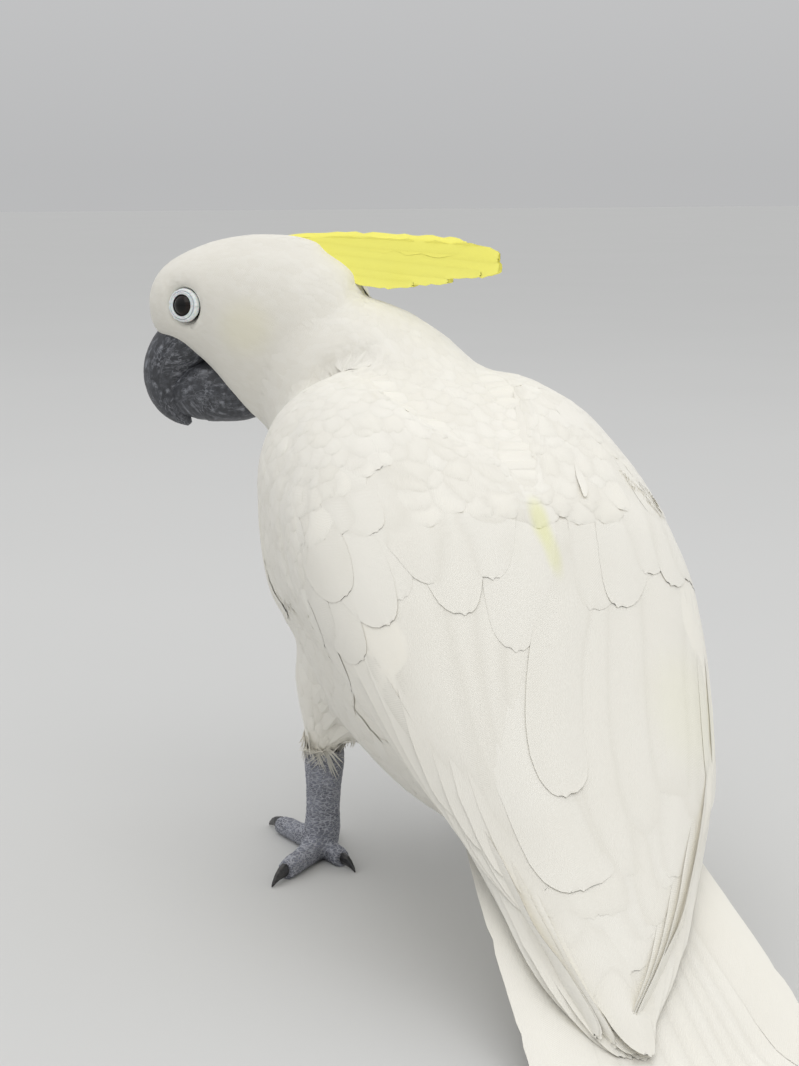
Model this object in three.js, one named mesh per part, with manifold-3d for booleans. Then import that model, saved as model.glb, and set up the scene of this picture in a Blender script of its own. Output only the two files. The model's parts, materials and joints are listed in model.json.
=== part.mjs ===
// A white cockatoo with a yellow crest, standing on a level floor and looking
// over its left side.  Millimetres.  The body faces -Y, its left side is +X,
// Z is up and the floor is at Z = 0.  The sizes are given in the bird's own
// frame; the finished model is then set with its origin at the middle of its
// footprint.

import * as THREE from "three";
import { mergeVertices } from "three/addons/utils/BufferGeometryUtils.js";
import Module from "manifold-3d";

const wasm = await Module();
wasm.setup();

// ---------------------------------------------------------------- sizes

const GAP = 0.3;                 // clearance between neighbouring pieces

const RING_SIDES = 20;           // points round the trunk, neck and head
const LIMB_SIDES = 8;            // points round a leg or a toe

// Head, in its own frame: x runs forward to the bill, y to its left, z up.
const HEAD = {
  position: [49, -100, 212],
  yaw: -37,                      // degrees, from +X towards -Y
  eye: { x: 22.5, y: 20.2, z: 10.5, radius: 6.2, sink: 3.9, ring: 7.9, forward: 14 },
};

// Head profile: x, top z, bottom z, half width.
const HEAD_ROWS = [
  [44.4, 13, 1, 4],
  [43, 20, -3, 10.5],
  [38.5, 26.5, -5.5, 15.5],
  [31, 31.5, -8, 19],
  [22, 35, -13, 21.5],
  [12, 37.2, -22, 23.5],
  [2, 38.4, -34, 25.5],
  [-10, 38.8, -44, 27.5],
  [-24, 37.5, -52, 29],
  [-38, 33, -56, 29],
  [-50, 25, -52, 26],
];

// Neck: centre x, y, z, half width, dorsal height, ventral depth.
const NECK_ROWS = [
  [38, -92, 199, 25, 28, 26],
  [29, -86, 196, 31, 36, 34],
  [17, -73, 188, 37, 42, 40],
  [5, -54, 177, 43, 45, 42],
  [0, -30, 164, 47, 44, 42],
];

// Trunk: dorsal y, z, ventral y, z, half width, height of the widest point.
const TRUNK_ROWS = [
  [-66, 198, -90, 160, 30, 0.5],
  [-48, 206, -91, 138, 46, 0.5],
  [-22, 206, -84, 112, 55, 0.5],
  [10, 196, -62, 84, 61, 0.5],
  [42, 184, -30, 58, 63, 0.52],
  [72, 171, 10, 42, 61, 0.54],
  [97, 150, 50, 36, 54, 0.54],
  [112, 126, 84, 36, 45, 0.54],
  [124, 102, 112, 38, 36, 0.52],
  [138, 78, 138, 38, 27, 0.5],
  [150, 60, 160, 34, 15, 0.5],
];

// Folded wing.  Each row gives three points of one section, all for the left
// wing: the inner edge y, z; the side x, y, z; the lower edge x, y, z; and the
// thickness.  The inner edge's x comes from innerEdgeX.
const WING_ROWS = [
  [-54, 187, 45, -60, 168, 45, -61, 152, 6],
  [-40, 196, 61, -42, 160, 58, -40, 122, 11],
  [-12, 199.5, 71, -14, 155, 62, -14, 106, 13],
  [24, 194.5, 74, 24, 146, 60, 24, 108, 13],
  [60, 180, 74, 60, 134, 56, 60, 97, 13],
  [92, 163, 71, 92, 114, 50, 90, 82, 12],
  [119, 128, 62, 120, 92, 45, 118, 71, 9],
  [147, 90, 50, 147, 67, 41, 147, 59, 6],
  [173, 57, 34, 173, 43, 32, 174, 39, 4],
  [196, 34, 23.5, 197, 30, 22.5, 198, 28, 3],
  [216, 16, 5, 217, 14, 4, 218, 12, 2],
];
// Long feathers hanging at the wing's bend: root x, y, z, tip x, y, z, width.
const BEND_FEATHERS = [
  [66, -34, 142, 60, -15, 99, 24],
  [67, -24, 138, 62, -8, 104, 22],
];
const CREASE_START = 92;         // y at which the two wings meet
const WING_INNER_X = 27;         // half width of the mantle between the wings
const TIP_DRIFT = { x: 22, from: 147, to: 216, power: 1.3 };

// Tail fan.  Its upper face starts at base and runs back and down to the floor.
const TAIL = {
  base: [1, 97, 77],
  slope: 29,                     // degrees
  length: 163,
  halfWidthBase: 31,
  halfWidthTip: 58,
  feathers: 12,
  step: 0.7,                     // height from one feather to the next
  thickness: 1.4,
  tipHeight: 0.9,                // upper face of the tips, which are flattened on the floor
};

// Standing legs.  The foot's frame has x forward and z up; the ankle is given
// in it, and outward is the side of the bird that the foot is on.
const LEG = {
  ankle: [-9, 0, 50],
  shankRadius: 7.8,
  thigh: { hip: [33, 92], radius: 22 },
  feet: {
    left: { position: [45, -14, 0], heading: -8, outward: 1 },
    right: { position: [-38, -8, 0], heading: 4, outward: -1 },
  },
};

// Toes, two forward and two back: angle outwards from forward, length, radius,
// claw length.
const TOES = [
  { name: "inner_front", angle: -16, length: 24, radius: 4.8, claw: 11 },
  { name: "outer_front", angle: 20, length: 35, radius: 5.2, claw: 13 },
  { name: "outer_back", angle: 142, length: 31, radius: 5.2, claw: 13 },
  { name: "inner_back", angle: -158, length: 16, radius: 4.8, claw: 11 },
];

// ---------------------------------------------------------------- solids

/** Value of every column of a table at t from 0 to 1, on a smooth curve. */
function sampleRows(rows, t) {
  const last = rows.length - 1;
  const at = Math.min(Math.max(t, 0), 1) * last;
  const i = Math.min(Math.floor(at), last - 1);
  const f = at - i;
  const row = (k) => rows[Math.min(Math.max(k, 0), last)];
  return rows[0].map((_, column) => {
    const [a, b, c, d] = [row(i - 1), row(i), row(i + 1), row(i + 2)].map((r) => r[column]);
    const slope1 = (c - a) / 2;
    const slope2 = (d - b) / 2;
    return b * (2 * f ** 3 - 3 * f ** 2 + 1) + slope1 * (f ** 3 - 2 * f ** 2 + f)
      + c * (3 * f ** 2 - 2 * f ** 3) + slope2 * (f ** 3 - f ** 2);
  });
}

/** A closed solid from points and triangles, turned to face outwards. */
function solidFrom(points, faces) {
  const volume = faces.reduce((sum, [a, b, c]) => {
    return sum + points[a].dot(new THREE.Vector3().crossVectors(points[b], points[c]));
  }, 0);
  const turned = volume < 0 ? faces.map(([a, b, c]) => [a, c, b]) : faces;
  return new wasm.Manifold(new wasm.Mesh({
    numProp: 3,
    vertProperties: new Float32Array(points.flatMap((p) => [p.x, p.y, p.z])),
    triVerts: new Uint32Array(turned.flat()),
  }));
}

/** A solid through a row of closed rings, its two ends closed by fans. */
function loft(rings) {
  const sides = rings[0].length;
  const points = rings.flat();
  const faces = [];
  for (let i = 0; i < rings.length - 1; i += 1) {
    for (let j = 0; j < sides; j += 1) {
      const a = i * sides + j;
      const b = i * sides + (j + 1) % sides;
      faces.push([a, b, a + sides], [b, b + sides, a + sides]);
    }
  }
  for (const [ring, flip] of [[0, true], [rings.length - 1, false]]) {
    const centre = new THREE.Vector3();
    rings[ring].forEach((p) => centre.addScaledVector(p, 1 / sides));
    points.push(centre);
    for (let j = 0; j < sides; j += 1) {
      const a = ring * sides + j;
      const b = ring * sides + (j + 1) % sides;
      faces.push(flip ? [b, a, points.length - 1] : [a, b, points.length - 1]);
    }
  }
  return solidFrom(points, faces);
}

/** A ring round a centre, with its own reach to each side, up and down. */
function ring(centre, side, up, reach, sides, power = 1, turn = 0) {
  const { width, top, bottom } = reach;
  const points = [];
  for (let j = 0; j < sides; j += 1) {
    const angle = 2 * Math.PI * (j + turn) / sides;
    const c = Math.sign(Math.cos(angle)) * Math.abs(Math.cos(angle)) ** power;
    const s = Math.sign(Math.sin(angle)) * Math.abs(Math.sin(angle)) ** power;
    points.push(centre.clone()
      .addScaledVector(side, width * c)
      .addScaledVector(up, (s > 0 ? top : bottom) * s));
  }
  return points;
}

/** A curved plate: a grid of points on its outer face, thickened inwards. */
function plate(grid, thicknessAt, flip = 1) {
  const rows = grid.length;
  const columns = grid[0].length;
  const points = grid.flat();
  for (let i = 0; i < rows; i += 1) {
    for (let j = 0; j < columns; j += 1) {
      const along = grid[Math.min(i + 1, rows - 1)][j].clone().sub(grid[Math.max(i - 1, 0)][j]);
      const across = grid[i][Math.min(j + 1, columns - 1)].clone().sub(grid[i][Math.max(j - 1, 0)]);
      const normal = along.cross(across).normalize().multiplyScalar(flip);
      points.push(grid[i][j].clone().addScaledVector(normal, -thicknessAt(i, j)));
    }
  }
  const count = rows * columns;
  const faces = [];
  const quad = (a, b, c, d) => faces.push([a, b, c], [a, c, d]);
  for (let i = 0; i < rows - 1; i += 1) {
    for (let j = 0; j < columns - 1; j += 1) {
      const a = i * columns + j;
      quad(a, a + 1, a + columns + 1, a + columns);
      quad(count + a, count + a + columns, count + a + columns + 1, count + a + 1);
    }
  }
  const rim = [];
  for (let j = 0; j < columns - 1; j += 1) rim.push([j, j + 1]);
  for (let i = 0; i < rows - 1; i += 1) rim.push([i * columns + columns - 1, (i + 2) * columns - 1]);
  const end = (rows - 1) * columns;
  for (let j = columns - 1; j > 0; j -= 1) rim.push([end + j, end + j - 1]);
  for (let i = rows - 1; i > 0; i -= 1) rim.push([i * columns, (i - 1) * columns]);
  rim.forEach(([a, b]) => quad(b, a, count + a, count + b));
  return solidFrom(points, faces);
}

/** One solid from many that run into each other. */
function join(solids) {
  return solids.reduce((whole, next) => whole.add(next));
}

const vector = (values) => new THREE.Vector3(...values);
const radians = THREE.MathUtils.degToRad;

// ---------------------------------------------------------------- trunk, neck and head

/** The trunk without its wings, grown outwards by a clearance. */
function trunkSolid(grow = 0) {
  const rings = [];
  const steps = 18;
  for (let i = 0; i <= steps; i += 1) {
    const [dy, dz, vy, vz, width, level] = sampleRows(TRUNK_ROWS, i / steps);
    const dorsal = new THREE.Vector3(0, dy, dz);
    const ventral = new THREE.Vector3(0, vy, vz);
    const up = dorsal.clone().sub(ventral);
    const height = up.length();
    up.normalize();
    const centre = ventral.clone().addScaledVector(up, height * level);
    rings.push(ring(centre, new THREE.Vector3(1, 0, 0), up, {
      width: width + grow,
      top: height * (1 - level) + grow,
      bottom: height * level + grow,
    }, RING_SIDES, 0.93));
  }
  return loft(rings);
}

/** The neck, from inside the trunk to inside the head. */
function neckSolid(grow = 0) {
  const rings = [];
  const steps = 8;
  for (let i = 0; i <= steps; i += 1) {
    const [x, y, z, width, top, bottom] = sampleRows(NECK_ROWS, i / steps);
    const ahead = vector(sampleRows(NECK_ROWS, (i - 0.5) / steps).slice(0, 3));
    const behind = vector(sampleRows(NECK_ROWS, (i + 0.5) / steps).slice(0, 3));
    const axis = ahead.sub(behind).normalize();
    const side = new THREE.Vector3().crossVectors(new THREE.Vector3(0, 0, 1), axis).normalize();
    const up = new THREE.Vector3().crossVectors(axis, side);
    rings.push(ring(new THREE.Vector3(x, y, z), side, up, {
      width: width + grow,
      top: top + grow,
      bottom: bottom + grow,
    }, RING_SIDES));
  }
  return loft(rings);
}

/** The feathered skull in the head's own frame. */
function headSolid(grow = 0) {
  const rings = [];
  const steps = 14;
  for (let i = 0; i <= steps; i += 1) {
    const [x, top, bottom, width] = sampleRows(HEAD_ROWS, i / steps);
    const level = Math.min(top - width * 0.9, (top + bottom) / 2 + 6);
    const end = i === 0 ? grow : 0;
    rings.push(ring(new THREE.Vector3(x + end, 0, level), new THREE.Vector3(0, 1, 0),
      new THREE.Vector3(0, 0, 1), {
        width: width + grow,
        top: top - level + grow,
        bottom: level - bottom + grow,
      }, RING_SIDES));
  }
  return loft(rings);
}

const headMatrix = new THREE.Matrix4()
  .makeRotationZ(radians(HEAD.yaw))
  .setPosition(...HEAD.position);

/** A solid of the head's frame set in the bird's frame. */
function inBirdFrame(solid) {
  return solid.transform(headMatrix.toArray());
}

/** A solid of the bird's frame set in the head's frame. */
function inHeadFrame(solid) {
  return solid.transform(headMatrix.clone().invert().toArray());
}

// ---------------------------------------------------------------- bill, eyes and crest

// Bill profile in the head's frame.  Upper: centre x, z, half height across
// the curve, half width; lower likewise.
const UPPER_BILL_ROWS = [
  [22, 2, 12.5, 10.6],
  [29, -6, 12.2, 10.6],
  [35.8, -12.5, 11, 10],
  [40, -19.5, 9.4, 8.8],
  [40.6, -27, 7.8, 7.2],
  [38.6, -34, 5.8, 5.4],
  [34.4, -39.8, 3.3, 3.4],
  [29.6, -43.6, 0.9, 1.1],
];
const LOWER_BILL_ROWS = [
  [-8, -26, 10, 10],
  [4, -29, 11.6, 10.6],
  [14, -28.5, 13, 10.2],
  [21, -28, 13, 9],
  [26.5, -30, 10.4, 7.2],
  [30, -32, 5.5, 4.6],
];

/** A bill half lofted along its curved axis in the head's middle plane. */
function billSolid(rows, steps, sides, grow = 0) {
  const rings = [];
  for (let i = 0; i <= steps; i += 1) {
    const [x, z, height, width] = sampleRows(rows, i / steps);
    const [xa, za] = sampleRows(rows, (i - 0.5) / steps);
    const [xb, zb] = sampleRows(rows, (i + 0.5) / steps);
    const axis = new THREE.Vector3(xb - xa, 0, zb - za).normalize();
    const up = new THREE.Vector3(-axis.z, 0, axis.x);
    rings.push(ring(new THREE.Vector3(x, 0, z), new THREE.Vector3(0, 1, 0), up, {
      width: width + grow,
      top: height + grow,
      bottom: height + grow,
    }, sides));
  }
  return loft(rings);
}

/** A round solid about an axis, from a half outline of [along, radius]. */
function turned(outline, position, direction, segments) {
  const geometry = new THREE.LatheGeometry(
    outline.map(([along, radius]) => new THREE.Vector2(radius, along)), segments);
  geometry.applyQuaternion(new THREE.Quaternion()
    .setFromUnitVectors(new THREE.Vector3(0, 1, 0), direction));
  geometry.translate(position.x, position.y, position.z);
  return weld(geometry);
}

/** A closed three.js geometry as a solid, its doubled vertices merged. */
function weld(geometry) {
  geometry.deleteAttribute("normal");
  geometry.deleteAttribute("uv");
  const merged = mergeVertices(geometry, 1e-4);
  const position = merged.getAttribute("position");
  const index = merged.getIndex().array;
  const points = Array.from({ length: position.count },
    (_, i) => new THREE.Vector3().fromBufferAttribute(position, i));
  const faces = [];
  for (let i = 0; i < index.length; i += 3) {
    const face = [index[i], index[i + 1], index[i + 2]];
    if (new Set(face).size === 3) faces.push(face);
  }
  return solidFrom(points, faces);
}

/** Points along part of a circle, as [along, radius] pairs for a turning. */
function arc(centre, radius, from, to, steps) {
  return Array.from({ length: steps + 1 }, (_, i) => {
    const angle = radians(from + (to - from) * i / steps);
    return [centre + radius * Math.sin(angle), Math.max(radius * Math.cos(angle), 0)];
  });
}

const eyeDirection = (side) => {
  const forward = radians(HEAD.eye.forward);
  return new THREE.Vector3(Math.sin(forward), side * Math.cos(forward), 0.06).normalize();
};
const eyePlace = (side) => new THREE.Vector3(HEAD.eye.x, side * HEAD.eye.y, HEAD.eye.z);

/** The eyeball, a ball seated in the head. */
function eyeSolid(side) {
  const { radius, sink } = HEAD.eye;
  return turned(arc(-sink, radius, -90, 90, 6), eyePlace(side), eyeDirection(side), 14);
}

/** The bare skin round the eye: a low ring with a rounded face. */
function eyeRingSolid(side) {
  const { ring: outer, radius } = HEAD.eye;
  const rim = radius * 0.76;
  const outline = [[-2.4, radius + GAP], [-2.4, outer], [0.2, outer], [1, (rim + outer) / 2],
    [0.7, rim], [-2.4, radius + GAP]];
  return turned(outline, eyePlace(side), eyeDirection(side), 16);
}

/** The hollow in the head that takes an eye and its ring. */
function socketSolid(side) {
  const { ring: outer, radius, sink } = HEAD.eye;
  const outline = [[-sink - radius - GAP, 0], [-sink - radius - GAP, radius], [-2.7, outer + GAP],
    [8, outer + GAP], [8, 0]];
  return turned(outline, eyePlace(side), eyeDirection(side), 16);
}

/** A feather blade from root to tip, its flat face towards facing. */
function blade({ root, tip, facing, width, thickness, rows, point }) {
  const columns = 2;
  const axis = tip.clone().sub(root);
  const across = new THREE.Vector3().crossVectors(facing, axis).normalize();
  const normal = new THREE.Vector3().crossVectors(axis, across).normalize();
  const grid = [];
  for (let i = 0; i <= rows; i += 1) {
    const t = 1 - (1 - i / rows) ** 1.5;
    const blunt = Math.sqrt(Math.max(1 - Math.max((t - point) / (1 - point), 0) ** 2, 0.012));
    const half = width / 2 * Math.min(0.45 + 1.6 * t, 1) * blunt;
    grid.push(Array.from({ length: columns + 1 }, (_, j) => {
      const v = 2 * j / columns - 1;
      return root.clone().addScaledVector(axis, t)
        .addScaledVector(across, v * half)
        .addScaledVector(normal, -0.12 * half * v * v);
    }));
  }
  return plate(grid, () => thickness);
}

// Yellow crest feathers in the head's frame, one on the middle line and then
// in pairs: root x, z, tip x, z, width, distance from the middle line.
const CREST_FEATHERS = [
  [-12, 34, -112, 30, 13, 0],
  [-14, 32, -106, 27, 12, 1.6],
  [-16, 29, -94, 23, 12, 3],
  [-18, 27, -78, 20, 12, 4.2],
];

/** The long yellow feathers folded back over the nape, run together. */
function crestSolid() {
  const feathers = CREST_FEATHERS.flatMap(([x, z, tipX, tipZ, width, spread]) => {
    return (spread === 0 ? [0] : [-1, 1]).map((side) => blade({
      root: new THREE.Vector3(x, side * spread * 0.7, z),
      tip: new THREE.Vector3(tipX, side * spread, tipZ),
      facing: new THREE.Vector3(0, side || 1, 0.25),
      width,
      thickness: 2.4,
      rows: 4,
      point: 0.8,
    }));
  });
  const core = loft([0, 1, 2, 3].map((i) => ring(
    new THREE.Vector3(-6 - 15 * i, 0, 32 - 2.4 * i), new THREE.Vector3(0, 1, 0),
    new THREE.Vector3(0, 0, 1), { width: 5.4 - i * 0.9, top: 7 - i * 0.6, bottom: 9 - i * 1.5 }, 8)));
  return join([core, ...feathers]);
}

/** The white feathers of the forehead that lie over the crest's base. */
function forecrestSolid(grow = 0) {
  const rows = [
    [26, 32.6, 3, 1.6],
    [14, 35, 7.5, 3.2],
    [-2, 36.6, 9.6, 4.2],
    [-18, 36, 9, 4.8],
    [-34, 33, 6, 5],
  ];
  return loft(rows.map(([x, z, width, height]) => ring(new THREE.Vector3(x, 0, z),
    new THREE.Vector3(0, 1, 0), new THREE.Vector3(0, 0, 1),
    { width: width + grow, top: height + grow, bottom: height + grow }, 10)));
}

// ---------------------------------------------------------------- wings

/** Half width of the mantle between the wings, then the crease, by y. */
function innerEdgeX(y, side) {
  const closing = THREE.MathUtils.smoothstep(y, 20, CREASE_START);
  return side * WING_INNER_X * (1 - closing) + creaseX(y);
}

/** How far the line between the wings strays to the bird's left, by y. */
function creaseX(y) {
  const { smoothstep } = THREE.MathUtils;
  return 34 * smoothstep(y, 84, 152) - 8 * smoothstep(y, 50, 90) - 12 * smoothstep(y, 142, 190);
}

/** How far the wing tips stray to the bird's left, by y. */
function driftX(y) {
  const { x, from, to, power } = TIP_DRIFT;
  return x * THREE.MathUtils.clamp((y - from) / (to - from), 0, 1) ** power;
}

/** The outer face of a wing as a grid of points. */
function wingGrid(side, steps) {
  const grid = [];
  const upper = 6;
  const lower = 3;
  for (let i = 0; i <= steps; i += 1) {
    const [iy, iz, sx, sy, sz, lx, ly, lz] = sampleRows(WING_ROWS, i / steps);
    const x0 = innerEdgeX(iy, side);
    const x1 = side * sx + driftX(sy);
    const x2 = side * lx + driftX(ly);
    const points = [];
    for (let j = 0; j <= upper; j += 1) {
      const angle = Math.PI / 2 * j / upper;
      points.push(new THREE.Vector3(x0 + (x1 - x0) * Math.sin(angle),
        sy + (iy - sy) * Math.cos(angle), sz + (iz - sz) * Math.cos(angle)));
    }
    for (let j = 1; j <= lower; j += 1) {
      const angle = Math.PI / 2 * j / lower;
      points.push(new THREE.Vector3(x2 + (x1 - x2) * Math.cos(angle),
        sy + (ly - sy) * Math.sin(angle), sz + (lz - sz) * Math.sin(angle)));
    }
    grid.push(points);
  }
  return grid;
}

/** The folded wing over the trunk: a shell, and the feathers hanging at its bend. */
function wingSolid(side) {
  const steps = 14;
  const grid = wingGrid(side, steps);
  const columns = grid[0].length - 1;
  const shell = plate(grid, (i, j) => {
    const thickness = sampleRows(WING_ROWS, i / steps)[8];
    return thickness * (0.25 + 0.75 * Math.sin(Math.PI * (0.12 + 0.76 * j / columns)));
  }, -side);
  const hanging = BEND_FEATHERS.map(([x, y, z, tipX, tipY, tipZ, width]) => blade({
    root: new THREE.Vector3(side * x, y, z),
    tip: new THREE.Vector3(side * tipX, tipY, tipZ),
    facing: new THREE.Vector3(side, -0.35, 0),
    width,
    thickness: 4,
    rows: 5,
    point: 0.6,
  }));
  return join([shell, ...hanging]);
}

/** All space on one side of the crease between the wings. */
function creaseSide(side) {
  const shape = new THREE.Shape();
  const far = 200;
  shape.moveTo(side * far, -far);
  shape.lineTo(side * GAP / 2, -far);
  for (let y = 40; y <= 220; y += 12) shape.lineTo(creaseX(y) + side * GAP / 2, y);
  shape.lineTo(creaseX(220) + side * GAP / 2, far + far);
  shape.lineTo(side * far, far + far);
  shape.closePath();
  return weld(new THREE.ExtrudeGeometry(shape, { depth: 2 * far, bevelEnabled: false }));
}

// ---------------------------------------------------------------- tail

/** Centre of the tail's upper face at a distance along it. */
function tailAxis(distance) {
  const [x, y, z] = TAIL.base;
  const slope = radians(TAIL.slope);
  return new THREE.Vector3(x, y + distance * Math.cos(slope), z - distance * Math.sin(slope));
}

/** The tail fan, its feathers stepped down from the middle pair. */
function tailSolid(grow = 0) {
  const rows = 6;
  const perFeather = 2;
  const columns = TAIL.feathers * perFeather;
  const grid = [];
  for (let i = 0; i <= rows; i += 1) {
    const t = 1 - (1 - i / rows) ** 1.4;
    grid.push(Array.from({ length: columns + 1 }, (_, j) => {
      const v = 2 * j / columns - 1;
      const scallop = j % perFeather === 0 ? 3.5 : 0;
      const distance = (TAIL.length - scallop - 7 * v * v) * t;
      const point = tailAxis(distance);
      point.x += v * THREE.MathUtils.lerp(TAIL.halfWidthBase, TAIL.halfWidthTip, t);
      point.z -= TAIL.step * Math.abs(v) * TAIL.feathers / 2 * (1 - t * 0.6);
      point.z = Math.max(point.z, TAIL.tipHeight) + grow;
      return point;
    }));
  }
  return plate(grid, () => TAIL.thickness + 2 * grow, -1).trimByPlane([0, 0, 1], 0);
}

// ---------------------------------------------------------------- legs

/** Where a point of a foot's frame lies in the bird's frame. */
function footMatrix({ position, heading }) {
  return new THREE.Matrix4()
    .makeRotationZ(radians(heading - 90))
    .setPosition(...position);
}

/** Direction of a toe in its foot's frame. */
function toeDirection(toe, outward) {
  const angle = radians(toe.angle) * outward;
  return new THREE.Vector3(Math.cos(angle), Math.sin(angle), 0);
}

/** A ring pressed flat where it would pass below the floor. */
function flatBelow(points) {
  points.forEach((p) => { p.z = Math.max(p.z, 0); });
  return points;
}

const SOLE_REACH = 1.12;         // lowers a toe's ring so that its lowest side lies on the floor

/** One toe from the middle of the foot to the root of its claw. */
function toeSolid(toe, outward) {
  const direction = toeDirection(toe, outward);
  const side = new THREE.Vector3(-direction.y, direction.x, 0);
  const steps = 5;
  const rings = [];
  for (let i = 0; i <= steps; i += 1) {
    const t = i / steps;
    const radius = toe.radius * (1 - 0.28 * t + 0.05 * Math.sin(3 * Math.PI * t));
    const height = radius * 0.93 + 3.2 * (1 - t) ** 2;
    const centre = direction.clone().multiplyScalar(toe.length * t);
    centre.z = height;
    rings.push(flatBelow(ring(centre, side, new THREE.Vector3(0, 0, 1),
      { width: radius, top: radius, bottom: height * SOLE_REACH }, LIMB_SIDES, 0.9, 0.5)));
  }
  return loft(rings);
}

/** One claw, curving down from the end of its toe to the floor. */
function clawSolid(toe, outward) {
  const direction = toeDirection(toe, outward);
  const side = new THREE.Vector3(-direction.y, direction.x, 0);
  const radius = toe.radius * 0.6;
  const steps = 4;
  const rings = [];
  for (let i = 0; i <= steps; i += 1) {
    const t = i / steps;
    const bend = radians(58) * t;
    const reach = toe.claw / radians(58);
    const size = radius * (1 - 0.86 * t ** 1.2);
    const centre = direction.clone()
      .multiplyScalar(toe.length + GAP + reach * Math.sin(bend));
    centre.z = toe.radius * 0.8 - reach * (1 - Math.cos(bend)) * 0.72;
    const up = new THREE.Vector3(0, 0, Math.cos(bend)).addScaledVector(direction, Math.sin(bend));
    centre.z = Math.max(centre.z, size * Math.cos(bend) + 0.1);
    rings.push(flatBelow(ring(centre, side, up, { width: size * 0.72, top: size, bottom: size }, 6)));
  }
  return loft(rings);
}

/** The bare shank and its four toes as one solid, in the foot's frame. */
function footSolid(outward) {
  const ankle = vector(LEG.ankle);
  const pad = new THREE.Vector3(0, 0, 6);
  const axis = pad.clone().sub(ankle).normalize();
  const side = new THREE.Vector3(0, 1, 0);
  const up = new THREE.Vector3().crossVectors(axis, side);
  const profile = [[0, 1.02], [0.18, 1.06], [0.4, 0.94], [0.65, 0.9], [0.85, 0.98], [1, 0.9]];
  const shank = loft(profile.map(([t, size]) => {
    const radius = LEG.shankRadius * size;
    return flatBelow(ring(ankle.clone().lerp(pad, t), side, up,
      { width: radius, top: radius, bottom: radius }, 10));
  }));
  return join([shank, ...TOES.map((toe) => toeSolid(toe, outward))]);
}

/** The feathered thigh, from inside the trunk down to the ankle. */
function thighSolid(foot, grow = 0) {
  const ankle = vector(LEG.ankle).applyMatrix4(footMatrix(foot));
  const { hip, radius } = LEG.thigh;
  const top = new THREE.Vector3(foot.outward * hip[0], foot.position[1] + 8, hip[1]);
  const profile = [[0, 1, 1.15], [0.25, 0.98, 1.1], [0.5, 0.8, 0.92], [0.75, 0.56, 0.62],
    [0.93, 0.42, 0.45], [1.04, 0.36, 0.38]];
  return loft(profile.map(([t, width, depth]) => ring(top.clone().lerp(ankle, t),
    new THREE.Vector3(1, 0, 0), new THREE.Vector3(0, 1, 0),
    { width: radius * width + grow, top: radius * depth + grow, bottom: radius * depth + grow }, 14)));
}

// ---------------------------------------------------------------- assembly

const colours = {
  plumage: { color: 0xf2f0e6, roughness: 0.85, metalness: 0 },
  crest: { color: 0xf0e04a, roughness: 0.8, metalness: 0 },
  bill: { color: 0x3c3f45, roughness: 0.55, metalness: 0 },
  leg: { color: 0x6f747c, roughness: 0.8, metalness: 0 },
  claw: { color: 0x26272b, roughness: 0.5, metalness: 0 },
  eye: { color: 0x0c0a09, roughness: 0.08, metalness: 0 },
  eyeSkin: { color: 0xccd6de, roughness: 0.7, metalness: 0 },
};

/** A named mesh from a solid. */
function node(name, solid, finish) {
  const { vertProperties, triVerts } = solid.getMesh();
  const geometry = new THREE.BufferGeometry();
  geometry.setAttribute("position", new THREE.BufferAttribute(new Float32Array(vertProperties), 3));
  geometry.setIndex(new THREE.BufferAttribute(new Uint32Array(triVerts), 1));
  geometry.computeVertexNormals();
  const mesh = new THREE.Mesh(geometry, new THREE.MeshStandardMaterial(colours[finish]));
  mesh.name = name;
  return mesh;
}

const cockatoo = new THREE.Group();
const headGroup = new THREE.Group();
headGroup.position.set(...HEAD.position);
headGroup.rotation.z = radians(HEAD.yaw);
cockatoo.add(headGroup);

const trunkRoom = trunkSolid(GAP);
const neckRoom = neckSolid(GAP);
const headRoom = headSolid(GAP);
const tailRoom = tailSolid(GAP);
const feet = Object.entries(LEG.feet);
const thighRooms = feet.map(([, foot]) => thighSolid(foot, GAP));

cockatoo.add(node("trunk", trunkSolid(), "plumage"));
cockatoo.add(node("neck", neckSolid().subtract(trunkRoom).subtract(inBirdFrame(headRoom)), "plumage"));
cockatoo.add(node("tail", tailSolid().subtract(trunkRoom), "plumage"));

const upperBillRoom = billSolid(UPPER_BILL_ROWS, 11, 12, GAP);
let face = headSolid().subtract(inHeadFrame(trunkRoom));
for (const [name, side] of [["left", 1], ["right", -1]]) {
  face = face.subtract(socketSolid(side));
  headGroup.add(node(`eye_${name}`, eyeSolid(side), "eye"));
  headGroup.add(node(`eye_ring_${name}`, eyeRingSolid(side), "eyeSkin"));
}
headGroup.add(node("head", face, "plumage"));
headGroup.add(node("bill_upper", billSolid(UPPER_BILL_ROWS, 11, 12).subtract(headRoom), "bill"));
headGroup.add(node("bill_lower",
  billSolid(LOWER_BILL_ROWS, 7, 12).subtract(headRoom).subtract(upperBillRoom), "bill"));
headGroup.add(node("forecrest", forecrestSolid().subtract(headRoom), "plumage"));
headGroup.add(node("crest", crestSolid().subtract(headRoom).subtract(forecrestSolid(GAP)), "crest"));

for (const [name, side] of [["left", 1], ["right", -1]]) {
  const wing = wingSolid(side)
    .subtract(trunkRoom)
    .subtract(neckRoom)
    .subtract(tailRoom)
    .intersect(creaseSide(side));
  cockatoo.add(node(`wing_${name}`, wing, "plumage"));
}

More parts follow.
